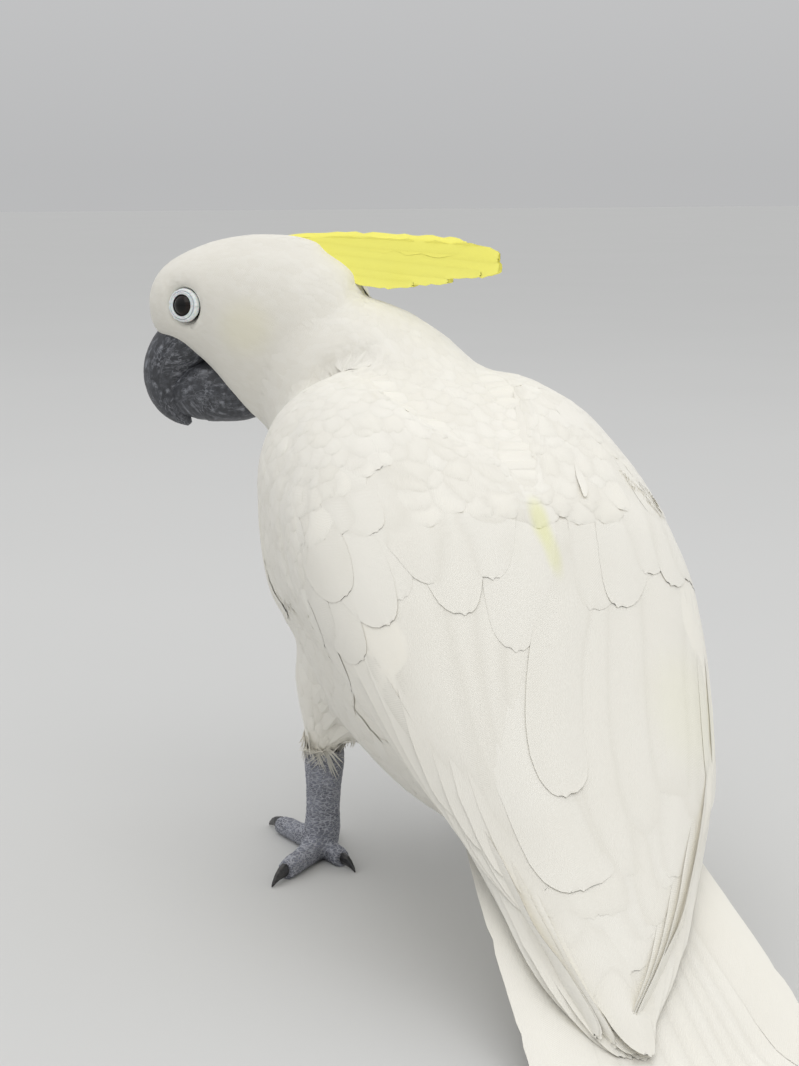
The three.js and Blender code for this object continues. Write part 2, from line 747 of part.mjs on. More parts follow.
for (const [index, [name, foot]] of feet.entries()) {
  const group = new THREE.Group();
  group.position.set(...foot.position);
  group.rotation.z = radians(foot.heading - 90);
  cockatoo.add(group);
  const thigh = thighSolid(foot).subtract(trunkRoom);
  cockatoo.add(node(`thigh_${name}`, thigh, "plumage"));
  const room = thighRooms[index].transform(footMatrix(foot).invert().toArray());
  group.add(node(`foot_${name}`, footSolid(foot.outward).subtract(room), "leg"));
  for (const toe of TOES) {
    group.add(node(`claw_${toe.name}_${name}`, clawSolid(toe, foot.outward), "claw"));
  }
}

const footprint = new THREE.Box3().setFromObject(cockatoo, true).getCenter(new THREE.Vector3());
const model = new THREE.Group();
cockatoo.position.set(-footprint.x, -footprint.y, 0);
model.add(cockatoo);

export default model;
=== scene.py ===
"""A white cockatoo with a folded yellow crest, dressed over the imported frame.

Sizes are millimetres in the bird's own frame: the body faces -Y, its left
side is +X, Z is up and the floor is at Z = 0.  Meshes are turned into metres
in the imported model's frame as they are made.
"""

import json
import logging
import math
from dataclasses import dataclass, field
from enum import Enum

import bmesh
import bpy
import numpy as np
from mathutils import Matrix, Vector
from mathutils.bvhtree import BVHTree

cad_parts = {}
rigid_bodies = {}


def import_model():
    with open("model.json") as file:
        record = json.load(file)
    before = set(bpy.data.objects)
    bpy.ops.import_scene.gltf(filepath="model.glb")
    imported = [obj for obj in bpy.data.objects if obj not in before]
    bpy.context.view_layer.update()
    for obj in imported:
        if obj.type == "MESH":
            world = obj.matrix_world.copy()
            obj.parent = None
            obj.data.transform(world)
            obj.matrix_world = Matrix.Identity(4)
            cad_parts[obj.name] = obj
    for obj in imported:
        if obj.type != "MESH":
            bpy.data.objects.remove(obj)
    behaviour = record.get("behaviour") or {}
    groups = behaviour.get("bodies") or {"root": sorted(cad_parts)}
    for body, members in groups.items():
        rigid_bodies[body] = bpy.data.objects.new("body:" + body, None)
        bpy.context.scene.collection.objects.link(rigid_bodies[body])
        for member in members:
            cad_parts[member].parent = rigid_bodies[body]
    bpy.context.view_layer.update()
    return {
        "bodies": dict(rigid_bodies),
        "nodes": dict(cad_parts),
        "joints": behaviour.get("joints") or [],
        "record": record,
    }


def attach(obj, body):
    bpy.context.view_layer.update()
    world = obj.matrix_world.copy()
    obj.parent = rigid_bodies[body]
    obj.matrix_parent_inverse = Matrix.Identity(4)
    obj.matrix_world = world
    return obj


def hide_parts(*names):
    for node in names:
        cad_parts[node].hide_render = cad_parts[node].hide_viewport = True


MM = 0.001
ROW_SHIFT = np.array([-7.79474, -52.02238, 0.0])  # bird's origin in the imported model
HEAD_PLACE = np.array([49.0, -100.0, 212.0])
HEAD_YAW = math.radians(-37.0)
SEED = 1987
BODY = "root"
SIDES = ((1, "left"), (-1, "right"))
LOG = logging.getLogger("cockatoo")

Array = np.ndarray
Piece = bpy.types.Object
Finish = bpy.types.Material
Socket = bpy.types.NodeSocket
Span = tuple[float, float]
Place = tuple[float, float, float]
Colour = Place
Faces = list[tuple[int, ...]]


# ---------------------------------------------------------------- places and numbers


def to_row(points: Array) -> Array:
    """Bird-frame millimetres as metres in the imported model's frame."""
    return (np.asarray(points, float) + ROW_SHIFT) * MM


def from_head(points: Array) -> Array:
    """Head-frame points (x forward, y left, z up) in the bird's frame."""
    c, s = math.cos(HEAD_YAW), math.sin(HEAD_YAW)
    turn = np.array([[c, -s, 0.0], [s, c, 0.0], [0.0, 0.0, 1.0]])
    return np.asarray(points, float) @ turn.T + HEAD_PLACE


def unit(v: Array) -> Array:
    """Vectors scaled to a length of one."""
    return v / np.maximum(np.linalg.norm(v, axis=-1, keepdims=True), 1e-9)


def smoothstep(x: Array, low: float, high: float) -> Array:
    """A smooth rise from 0 at low to 1 at high."""
    t = np.clip((np.asarray(x, float) - low) / (high - low), 0.0, 1.0)
    return t * t * (3.0 - 2.0 * t)


def lerp(a: Array, b: Array, t: Array) -> Array:
    """The value a share t of the way from a to b."""
    return a + (b - a) * t


def curve(rows: Array, t: Array) -> Array:
    """A table's columns read as a smooth curve, one row for each share t of the way along."""
    table = np.array(rows, float)
    last = len(table) - 1
    place = np.clip(np.atleast_1d(t), 0.0, 1.0) * last
    i = np.minimum(place.astype(int), last - 1)
    f = (place - i)[:, None]
    a, b, c, d = (table[np.clip(i + k, 0, last)] for k in (-1, 0, 1, 2))
    rise, fall = (c - a) / 2, (d - b) / 2
    return (
        b * (2 * f**3 - 3 * f**2 + 1)
        + rise * (f**3 - 2 * f**2 + f)
        + c * (3 * f**2 - 2 * f**3)
        + fall * (f**3 - f**2)
    )


def evened(values: Array, rounds: int) -> Array:
    """A row of values or points, smoothed with its neighbours, ends kept."""
    values = np.array(values, float)
    for _ in range(rounds):
        values[1:-1] = (values[:-2] + 2 * values[1:-1] + values[2:]) / 4
    return values


# ---------------------------------------------------------------- meshes


@dataclass
class Shape:
    """Vertices in bird-frame millimetres, and faces that point outwards."""

    vertices: Array
    faces: Faces
    vane: Array | None = None  # across and along a feather, and its tint
    uv: Array | None = None  # one place on the baking map for each vertex
    flat: Array | None = None  # faces that aren't shaded smooth
    normals: Array | None = None  # the shading's direction at each vertex


def joined(shapes: list[Shape]) -> Shape:
    """Several feathers' shapes as one."""
    faces: Faces = []
    count = 0
    for shape in shapes:
        faces += [tuple(i + count for i in face) for face in shape.faces]
        count += len(shape.vertices)
    rest = (np.concatenate([getattr(s, key) for s in shapes]) for key in ("vane", "uv", "flat", "normals"))
    return Shape(np.vstack([s.vertices for s in shapes]), faces, *rest)


def outward(shape: Shape) -> Shape:
    """A closed shape with its faces turned to point outwards."""
    v = shape.vertices
    volume = 0.0
    for face in shape.faces:
        for k in range(1, len(face) - 1):
            volume += float(np.dot(v[face[0]], np.cross(v[face[k]], v[face[k + 1]])))
    if volume < 0:
        shape.faces = [tuple(reversed(face)) for face in shape.faces]
    return shape


def tube(count: int, sides: int, closed: bool = False) -> Faces:
    """Faces between rings of points, and from the last ring to the first if closed."""
    faces: Faces = []
    for i in range(count if closed else count - 1):
        n = (i + 1) % count
        for j in range(sides):
            k = (j + 1) % sides
            faces.append((i * sides + j, i * sides + k, n * sides + k, n * sides + j))
    return faces


def loft(rings: Array) -> Shape:
    """A closed solid through rings: an array of rings, points of a ring, and coordinates."""
    count, sides = rings.shape[:2]
    vertices = np.vstack([rings.reshape(-1, 3), rings[0].mean(0), rings[-1].mean(0)])
    faces = tube(count, sides)
    first, last, start = count * sides, count * sides + 1, (count - 1) * sides
    for j in range(sides):
        k = (j + 1) % sides
        faces += [(k, j, first), (start + j, start + k, last)]
    return outward(Shape(vertices, faces))


def linked(name: str, data: bpy.types.ID) -> Piece:
    """A new object for some data, linked to the scene."""
    piece = bpy.data.objects.new(name, data)
    bpy.context.scene.collection.objects.link(piece)
    return piece


def store(mesh: bpy.types.Mesh, name: str, values: Array) -> None:
    """Keeps a vector on each of a mesh's points under a name."""
    layer = mesh.attributes.new(name, "FLOAT_VECTOR", "POINT")
    layer.data.foreach_set("vector", values.astype(np.float32).ravel())


def make_object(name: str, shape: Shape, finish: Finish) -> Piece:
    """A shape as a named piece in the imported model's frame, linked to the scene."""
    mesh = bpy.data.meshes.new(name)
    mesh.from_pydata(to_row(shape.vertices).tolist(), [], shape.faces)
    mesh.update()
    mesh.shade_smooth()
    if shape.flat is not None:
        mesh.polygons.foreach_set("use_smooth", ~shape.flat)
    if shape.normals is not None:
        mesh.normals_split_custom_set_from_vertices(shape.normals.tolist())
    if shape.vane is not None:
        store(mesh, "vane", shape.vane)
    if shape.uv is not None:
        corners = np.zeros(len(mesh.loops), np.int32)
        mesh.loops.foreach_get("vertex_index", corners)
        bake = mesh.uv_layers.new(name="OFBake")
        bake.data.foreach_set("uv", shape.uv[corners].astype(np.float32).ravel())
    mesh.materials.append(finish)
    return linked(name, mesh)


def soften_points(points: Array, triangles: Array, rounds: int) -> Array:
    """Points moved half way to the mean of their neighbours, some times over."""
    edges = np.vstack([triangles[:, [0, 1]], triangles[:, [1, 2]], triangles[:, [2, 0]]])
    count = np.bincount(edges.ravel(), minlength=len(points))[:, None]
    for _ in range(rounds):
        total = np.zeros_like(points)
        np.add.at(total, edges[:, 0], points[edges[:, 1]])
        np.add.at(total, edges[:, 1], points[edges[:, 0]])
        points = (points + total / np.maximum(count, 1)) / 2
    return points


class Surface:
    """A triangle mesh that answers where its nearest point is."""

    def __init__(self, vertices: Array, triangles: Array) -> None:
        """Keeps the mesh and works out its smooth normals."""
        self.vertices = vertices
        self.triangles = triangles
        corner = vertices[triangles]
        across = np.cross(corner[:, 1] - corner[:, 0], corner[:, 2] - corner[:, 0])
        self.area = np.linalg.norm(across, axis=1) / 2
        normals = np.zeros_like(vertices)
        for k in range(3):
            np.add.at(normals, triangles[:, k], across)
        self.normals = unit(normals)
        self.tree = BVHTree.FromPolygons(vertices.tolist(), triangles.tolist())

    def nearest(self, points: Array) -> tuple[Array, Array]:
        """The nearest places on the mesh, and the smooth normals there."""
        hits = [self.tree.find_nearest(Vector(p)) for p in points]
        places = np.array([h[0] for h in hits], float)
        return places, self.normal_at(places, np.array([h[2] for h in hits], int))

    def normal_at(self, places: Array, index: Array) -> Array:
        """Smooth normals at places on given triangles."""
        a, b, c = (self.vertices[self.triangles[index, k]] for k in range(3))
        v0, v1, v2 = b - a, c - a, places - a
        d00, d01, d11 = (v0 * v0).sum(1), (v0 * v1).sum(1), (v1 * v1).sum(1)
        d20, d21 = (v2 * v0).sum(1), (v2 * v1).sum(1)
        size = np.maximum(d00 * d11 - d01 * d01, 1e-9)
        v = (d11 * d20 - d01 * d21) / size
        w = (d00 * d21 - d01 * d20) / size
        share = np.clip(np.stack([1 - v - w, v, w], 1), 0, 1)[:, :, None]
        return unit((self.normals[self.triangles[index]] * share).sum(1))

    def shape(self, points: Array) -> Shape:
        """The mesh's triangles on moved points."""
        return Shape(points, [tuple(t) for t in self.triangles.tolist()])

    def raised(self, height: float, rounds: int) -> "Surface":
        """A softer surface a little over this one, which long feathers lie on."""
        points = soften_points(self.vertices + self.normals * height, self.triangles, rounds)
        return Surface(points, self.triangles)


def gathered(nodes: tuple[str, ...], frame: dict, wing_end: float | None = None) -> Piece:
    """A joined copy of some of the frame's solids, the wings cut off at wing_end if given."""
    whole = bmesh.new()
    for name in nodes:
        part = bmesh.new()
        part.from_mesh(frame["nodes"][name].data)
        bmesh.ops.remove_doubles(part, verts=part.verts, dist=1e-6)
        if wing_end is not None and name.startswith("wing"):
            place = to_row((0.0, wing_end, 0.0))
            geometry = part.verts[:] + part.edges[:] + part.faces[:]
            made = bmesh.ops.bisect_plane(
                part, geom=geometry, plane_co=place, plane_no=(0, 1, 0), clear_outer=True)
            edges = [e for e in made["geom_cut"] if isinstance(e, bmesh.types.BMEdge)]
            bmesh.ops.holes_fill(part, edges=edges)
        copy = bpy.data.meshes.new(name + "_copy")
        part.to_mesh(copy)
        part.free()
        whole.from_mesh(copy)
        bpy.data.meshes.remove(copy)
    mesh = bpy.data.meshes.new("gathered")
    whole.to_mesh(mesh)
    whole.free()
    return linked("gathered", mesh)


def remeshed(piece: Piece, voxel: float, soften: int) -> Surface:
    """An even, softened triangle surface round an object, which is removed."""
    remesh = piece.modifiers.new("even", "REMESH")
    remesh.mode = "VOXEL"
    remesh.voxel_size = voxel * MM
    soft = piece.modifiers.new("soft", "SMOOTH")
    soft.factor = 0.5
    soft.iterations = soften
    graph = bpy.context.evaluated_depsgraph_get()
    mesh = bpy.data.meshes.new_from_object(piece.evaluated_get(graph), depsgraph=graph)
    vertices = np.zeros(len(mesh.vertices) * 3, np.float64)
    mesh.vertices.foreach_get("co", vertices)
    mesh.calc_loop_triangles()
    triangles = np.zeros(len(mesh.loop_triangles) * 3, np.int32)
    mesh.loop_triangles.foreach_get("vertices", triangles)
    bpy.data.objects.remove(piece)
    bpy.data.meshes.remove(mesh)
    return Surface(vertices.reshape(-1, 3) / MM - ROW_SHIFT, triangles.reshape(-1, 3))


# ---------------------------------------------------------------- finishes


class Nodes:
    """A node tree, with short ways to add and join nodes."""

    def __init__(self, tree: bpy.types.NodeTree) -> None:
        """Keeps the tree that the nodes are added to."""
        self.tree = tree

    def feed(self, socket: Socket, value: object) -> None:
        """Gives a socket a value, or a link from another socket."""
        if isinstance(value, Socket):
            self.tree.links.new(value, socket)
        else:
            socket.default_value = value

    def add(self, kind: str, inputs: dict | None = None, **settings: object) -> bpy.types.Node:
        """Adds a node with its settings, and values or sockets for its inputs."""
        node = self.tree.nodes.new(kind)
        for key, value in settings.items():
            setattr(node, key, value)
        for key, value in (inputs or {}).items():
            self.feed(node.inputs[key], value)
        return node

    def math(self, operation: str, a: object, b: object = 0.0) -> Socket:
        """The result of a sum on one or two values."""
        return self.add("ShaderNodeMath", {0: a, 1: b}, operation=operation).outputs[0]

    def times(self, value: object, *others: object) -> Socket:
        """Values multiplied one after another."""
        for other in others:
            value = self.math("MULTIPLY", value, other)
        return value

    def plus(self, a: object, b: object) -> Socket:
        """Two values added."""
        return self.math("ADD", a, b)

    def minus(self, a: object, b: object) -> Socket:
        """The second value taken from the first."""
        return self.math("SUBTRACT", a, b)

    def vector(self, operation: str, a: object, b: object = None) -> Socket:
        """The result of a sum on one or two vectors, or on a vector and its scale."""
        inputs = {0: a}
        if b is not None:
            inputs["Scale" if operation == "SCALE" else 1] = b
        node = self.add("ShaderNodeVectorMath", inputs, operation=operation)
        return node.outputs["Value" if operation in ("LENGTH", "DOT_PRODUCT") else "Vector"]

    def parts(self, vector: Socket) -> list[Socket]:
        """A vector's three numbers."""
        return list(self.add("ShaderNodeSeparateXYZ", {0: vector}).outputs)

    def packed(self, *values: object) -> Socket:
        """Two or three numbers as a vector."""
        return self.add("ShaderNodeCombineXYZ", dict(enumerate(values))).outputs[0]


class Graph(Nodes):
    """A material's node tree round one Principled shader."""

    def __init__(self, name: str) -> None:
        """Starts the material."""
        self.material = bpy.data.materials.new(name)
        self.material.use_nodes = True
        super().__init__(self.material.node_tree)
        self.shader = self.tree.nodes["Principled BSDF"]
        self.place = self.add("ShaderNodeTexCoord").outputs["Object"]

    def vane(self) -> Socket:
        """The measures that a piece keeps on its points."""
        return self.add("ShaderNodeAttribute", attribute_name="vane").outputs["Vector"]

    def mix(self, share: object, a: object, b: object) -> Socket:
        """A colour between two others."""
        node = self.add("ShaderNodeMix", data_type="RGBA", blend_type="MIX")
        self.feed(node.inputs["Factor"], share)
        for number, colour in ((6, a), (7, b)):
            self.feed(node.inputs[number], colour if isinstance(colour, Socket) else (*colour, 1.0))
        return node.outputs[2]

    def noise(self, scale: float, detail: float = 3.0, vector: object = None,
              stretch: object = None) -> Socket:
        """Soft noise from 0 to 1 over the place or another vector, which can be stretched."""
        source = vector or self.place
        if stretch is not None:
            source = self.add("ShaderNodeMapping", {"Vector": source, "Scale": stretch}).outputs[0]
        node = self.add("ShaderNodeTexNoise", {"Vector": source, "Scale": scale, "Detail": detail})
        return node.outputs["Fac"]

    def ramp(self, value: object, low: float, high: float, start: float = 0.0, end: float = 1.0) -> Socket:
        """A value spread smoothly from one range to another, clamped."""
        inputs = {0: value, 1: low, 2: high, 3: start, 4: end}
        return self.add("ShaderNodeMapRange", inputs, interpolation_type="SMOOTHSTEP").outputs[0]

    def bump(self, height: object, distance: float, strength: float = 1.0, under: object = None) -> Socket:
        """A normal from a height, in metres at full strength, over another normal if given."""
        inputs = {"Height": height, "Distance": distance, "Strength": strength}
        if under is not None:
            inputs["Normal"] = under
        return self.add("ShaderNodeBump", inputs).outputs[0]

    def finish(self, values: dict) -> Finish:
        """Sets the shader's sockets and returns the material."""
        for key, value in values.items():
            self.feed(self.shader.inputs[key], value)
        return self.material


@dataclass(frozen=True)
class Marking:
    """A soft patch of colour in the plumage."""

    centre: Place  # bird's frame
    size: Place
    colour: Colour
    strength: float


MARKINGS = (
    Marking((56.0, -76.0, 214.0), (17.0, 17.0, 15.0), (0.86, 0.82, 0.60), 0.45),
    Marking((-2.0, 98.0, 157.0), (4.5, 13.0, 13.0), (0.84, 0.84, 0.44), 0.65),
    Marking((-3.5, 106.0, 148.0), (4.0, 12.0, 13.0), (0.84, 0.84, 0.46), 0.5),
    Marking((-44.0, 134.0, 92.0), (22.0, 34.0, 26.0), (0.86, 0.85, 0.64), 0.3),
    Marking((66.0, -22.0, 128.0), (12.0, 22.0, 30.0), (0.86, 0.83, 0.64), 0.3),
)


@dataclass(frozen=True)
class PlumageFinish:
    """White plumage: barbs, soft sheen and pale yellow markings."""

    name: str
    base: Colour = (0.87, 0.845, 0.77)
    shade: Colour = (0.83, 0.80, 0.715)
    barb_pitch: float = 0.9  # millimetres between barbs
    barb_slant: float = 1.1  # how far a barb runs forward for its distance from the shaft
    barb_height: float = 0.00012
    roughness: float = 0.78
    markings: tuple[Marking, ...] = MARKINGS

    def build(self) -> Finish:
        """The node material."""
        g = Graph(self.name)
        across, along, tint = g.parts(g.vane())
        slant = g.minus(along, g.times(g.math("ABSOLUTE", across), self.barb_slant))
        wander = g.times(g.noise(260.0, 2.0), 5.0)
        barbs = g.math("SINE", g.plus(g.times(slant, 2 * math.pi / self.barb_pitch), wander))
        colour = g.mix(tint, self.shade, self.base)
        colour = g.mix(g.ramp(g.noise(38.0, 2.0), 0.4, 0.75, 0.0, 0.35), colour, self.shade)
        for mark in self.markings:
            away = g.vector("SUBTRACT", g.place, tuple(to_row(mark.centre)))
            reach = g.vector("LENGTH", g.vector("DIVIDE", away, tuple(s * MM for s in mark.size)))
            colour = g.mix(g.ramp(reach, 0.3, 1.1, mark.strength, 0.0), colour, mark.colour)
        fine = g.bump(barbs, self.barb_height, 0.16)
        return g.finish({
            "Base Color": colour,
            "Normal": g.bump(g.noise(900.0, 2.0), 0.0001, 0.2, fine),
            "Roughness": self.roughness,
            "Sheen Weight": 0.15,
            "Sheen Roughness": 0.6,
            "Subsurface Weight": 0.1,
            "Subsurface Radius": (1.0, 0.95, 0.88),
            "Subsurface Scale": 0.002,
            "Specular IOR Level": 0.2,
        })


@dataclass(frozen=True)
class HornFinish:
    """Charcoal horn with a chalky bloom that runs along its growth."""

    name: str
    base: Colour = (0.036, 0.038, 0.044)
    bloom: Colour = (0.30, 0.31, 0.34)
    bloom_share: float = 0.85
    roughness: float = 0.42

    def build(self) -> Finish:
        """The node material; it reads the piece's around and along measures."""
        g = Graph(self.name)
        vane = g.vane()
        patches = g.noise(1.0, 6.0, vane, (0.40, 0.17, 1.0))
        flakes = g.noise(420.0, 5.0)
        chalk = g.times(g.ramp(patches, 0.50, 0.68), g.ramp(flakes, 0.34, 0.60))
        line = g.math("ABSOLUTE", g.minus(g.noise(1.0, 4.0, vane, (0.46, 0.20, 1.0)), 0.5))
        cracks = g.times(g.ramp(line, 0.0, 0.03, 0.85, 0.0), g.ramp(g.noise(95.0, 4.0), 0.42, 0.6))
        dust = g.times(g.math("MAXIMUM", chalk, cracks), self.bloom_share)
        grain = g.mix(g.ramp(flakes, 0.35, 0.75), self.base, tuple(c * 1.9 for c in self.base))
        height = g.plus(g.times(patches, 0.6), g.times(flakes, 0.4))
        return g.finish({
            "Base Color": g.mix(dust, grain, self.bloom),
            "Roughness": g.ramp(dust, 0.0, 0.5, self.roughness, 0.8),
            "Normal": g.bump(height, 0.0006, 0.6),
            "Specular IOR Level": 0.5,
        })


def scaly_finish(top: Colour = (0.16, 0.168, 0.20), crease: Colour = (0.44, 0.45, 0.50)) -> Finish:
    """Grey scaly skin, paler in its creases."""
    g = Graph("leg_scales")
    wander = g.add("ShaderNodeTexNoise", {"Vector": g.place, "Scale": 160.0, "Detail": 2.0})
    place = g.vector("ADD", g.place, g.vector("SCALE", wander.outputs["Color"], 0.0022))
    flat = g.add("ShaderNodeMapping", {"Vector": place, "Scale": (0.8, 0.8, 2.1)}).outputs[0]
    cells = g.add("ShaderNodeTexVoronoi", {"Vector": flat, "Scale": 560.0}, feature="DISTANCE_TO_EDGE")
    edge = g.ramp(cells.outputs["Distance"], 0.02, 0.22)
    cloud = g.noise(120.0, 4.0)
    worn = g.mix(g.ramp(cloud, 0.35, 0.7), top, tuple(c * 1.7 for c in top))
    dust = g.ramp(g.noise(700.0, 4.0), 0.55, 0.8, 0.0, 0.5)
    return g.finish({
        "Base Color": g.mix(dust, g.mix(edge, crease, worn), crease),
        "Roughness": 0.72,
        "Normal": g.bump(edge, 0.0005, 0.9, g.bump(cloud, 0.0004, 0.4)),
        "Specular IOR Level": 0.35,
    })


def eye_finish() -> Finish:
    """A wet eye: a black pupil in a dark brown iris, by the distance from its axis."""
    g = Graph("eye_dark")
    radius = g.parts(g.vane())[0]
    iris = g.mix(g.noise(1500.0, 4.0), (0.006, 0.004, 0.003), (0.014, 0.008, 0.005))
    colour = g.mix(g.ramp(radius, 2.7, 3.0), (0.002, 0.002, 0.002), iris)
    rim = g.mix(g.ramp(radius, 4.3, 4.8), colour, (0.004, 0.003, 0.003))
    return g.finish({"Base Color": rim, "Roughness": 0.06, "Specular IOR Level": 0.28})


def lid_finish(skin: Colour = (0.86, 0.90, 0.90), fold: Colour = (0.50, 0.57, 0.62)) -> Finish:
    """Bare pale blue skin, a dark edge at the eye and painted shade in its groove, by the distance from its
    middle.
    """
    g = Graph("bare_lid")
    vane = g.vane()
    radius = g.parts(vane)[0]
    folds = g.noise(1.0, 4.0, vane, (2.2, 0.35, 1.0))
    fine = g.noise(1400.0, 4.0)
    colour = g.mix(g.ramp(folds, 0.5, 0.75, 0.0, 0.6), skin, fold)
    colour = g.mix(g.ramp(fine, 0.4, 0.7, 0.0, 0.25), colour, (0.72, 0.77, 0.80))
    # painted shade: a darker band laid along the lid's groove, near radius 6.1
    crease = g.times(g.ramp(radius, 5.8, 6.05), g.ramp(radius, 6.15, 6.4, 1.0, 0.0))
    colour = g.mix(g.times(crease, 0.7), colour, (0.30, 0.35, 0.38))
    colour = g.mix(g.ramp(radius, 4.6, 4.85, 1.0, 0.0), colour, (0.03, 0.03, 0.035))
    return g.finish({
        "Base Color": colour,
        "Roughness": 0.55,
        "Normal": g.bump(g.plus(folds, g.times(fine, 0.4)), 0.0004, 0.8),
        "Subsurface Weight": 0.15,
        "Subsurface Scale": 0.002,
    })


# ---------------------------------------------------------------- skin and lie of the plumage


@dataclass(frozen=True)
class Guide:
    """A line along the body that the plumage near it follows.

    Its sizes are the feathers' length, width and depth over the skin, each
    at the line's start and at its end.  The head's paths are in its frame.
    """

    group: str
    sizes: tuple[Span, Span, Span]
    path: tuple[Place, ...]
    paired: bool = False  # whether it is repeated on the other side

    def lines(self) -> list[Array]:
        """The guide's path, and its twin on the other side if it is paired."""
        path = np.array(self.path, float)
        head = self.group == "head"
        twins = [path, path * ((1, -1, 1) if head else (-1, 1, 1))]
        return [from_head(p) if head else p for p in twins[:2 if self.paired else 1]]


NECK_SIZES = ((13, 22), (5, 12), (0.18, 0.5))
BREAST_SIZES = ((18, 28), (12, 16), (0.7, 0.8))
BACK_SIZES = ((20, 36), (14, 22), (0.6, 0.6))
WING_SIZES = ((14, 36), (11, 22), (0.5, 1.0))
THIGH_SIZES = ((15, 9), (7, 4.5), (1.0, 0.7))
GUIDES = (
    Guide("head", ((5, 11), (2.0, 4.0), (0.05, 0.13)),
          ((42, 0, 20), (32, 0, 31), (14, 0, 37), (-6, 0, 39), (-24, 0, 38), (-40, 0, 32))),
    Guide("head", ((5, 11), (1.9, 4.2), (0.05, 0.13)),
          ((38, 14, 10), (22, 22, 6), (4, 25, 0), (-14, 28, -8), (-34, 29, -14)), True),
    Guide("head", ((5, 12), (2.0, 4.2), (0.05, 0.15)),
          ((16, 19, -8), (2, 22, -18), (-12, 24, -28), (-30, 26, -36)), True),
    Guide("head", ((6, 12), (2.6, 4.6), (0.06, 0.16)),
          ((-2, 0, -34), (-14, 0, -46), (-30, 0, -55), (-46, 0, -58))),
    Guide("neck", NECK_SIZES, ((26, -80, 238), (12, -60, 229), (2, -40, 219), (0, -20, 210))),
    Guide("neck", NECK_SIZES, ((60, -76, 196), (54, -56, 182), (50, -36, 170), (46, -10, 160))),
    Guide("neck", NECK_SIZES, ((-12, -98, 196), (-30, -76, 182), (-42, -50, 174), (-46, -20, 168))),
    Guide("neck", NECK_SIZES, ((38, -118, 168), (18, -110, 152), (4, -98, 134))),
    Guide("breast", BREAST_SIZES,
          ((2, -92, 136), (0, -86, 112), (0, -66, 84), (0, -34, 58), (0, 10, 42), (0, 60, 35), (0, 112, 36))),
    Guide("breast", BREAST_SIZES,
          ((36, -76, 136), (46, -46, 100), (46, -8, 72), (40, 44, 55), (28, 104, 44)), True),
    Guide("back", BACK_SIZES, ((0, -24, 208), (0, 8, 197), (0, 40, 186), (0, 68, 174), (0, 96, 152))),
    Guide("back", BACK_SIZES,
          ((24, -24, 202), (24, 8, 196), (22, 40, 186), (17, 68, 174), (8, 94, 155)), True),
    Guide("wing", WING_SIZES,
          ((46, -52, 180), (60, -20, 184), (62, 20, 180), (60, 58, 162), (54, 92, 134), (46, 120, 104),
           (36, 148, 74)), True),
    Guide("wing", WING_SIZES,
          ((64, -46, 156), (72, -10, 152), (75, 30, 142), (73, 64, 126), (66, 98, 100), (52, 130, 72)), True),
    Guide("wing", ((14, 32), (11, 19), (0.5, 0.9)),
          ((58, -40, 128), (63, -12, 110), (61, 28, 106), (57, 60, 96), (50, 92, 81), (44, 120, 68)), True),
    Guide("thigh", THIGH_SIZES, ((33, -6, 88), (38, -6, 72), (44, -5, 52))),
    Guide("thigh", THIGH_SIZES, ((-33, 0, 88), (-36, 0, 72), (-38, 1, 52))),
)


@dataclass(frozen=True)
class Fold:
    """A soft groove in the plumage, along a path on the body."""

    depth: float
    reach: float  # how far from the path it fades
    path: tuple[Place, ...]

    def pressed(self, points: Array) -> Array:
        """How far the fold presses the skin in at places on the body."""
        t = np.linspace(0, 1, 60)
        away = np.linalg.norm(points[:, None] - curve(self.path, t)[None], axis=2)
        fade = smoothstep(t, 0.0, 0.18) * (1 - smoothstep(t, 0.82, 1.0))
        return self.depth * fade[away.argmin(1)] * np.exp(-((away.min(1) / self.reach) ** 2))


FOLDS = (
    Fold(5.2, 4.4, ((16, -22, 207), (23, -25, 206.5), (29, -30, 204), (34, -34, 201), (39, -37, 195),
                    (45, -36, 188), (53, -32, 178))),
    Fold(1.2, 2.6, ((58, 2, 186), (65, 11, 176), (69.6, 13.7, 166.7), (72, 11, 158), (72.6, 4, 149),
                    (72, 0, 140))),
    Fold(1.6, 2.6, ((66, 28, 171), (69.5, 26.4, 165), (72, 25.5, 158.6), (73, 25, 151), (73.5, 29, 142),
                    (72.7, 32, 131), (71, 40, 120), (70, 42, 112))),
    Fold(1.4, 2.8, ((64, 37, 170), (68, 40, 163), (72, 45.6, 152.7), (73.2, 49.5, 144), (73.9, 55, 136),
                    (73, 57, 128), (71, 58, 118))),
)


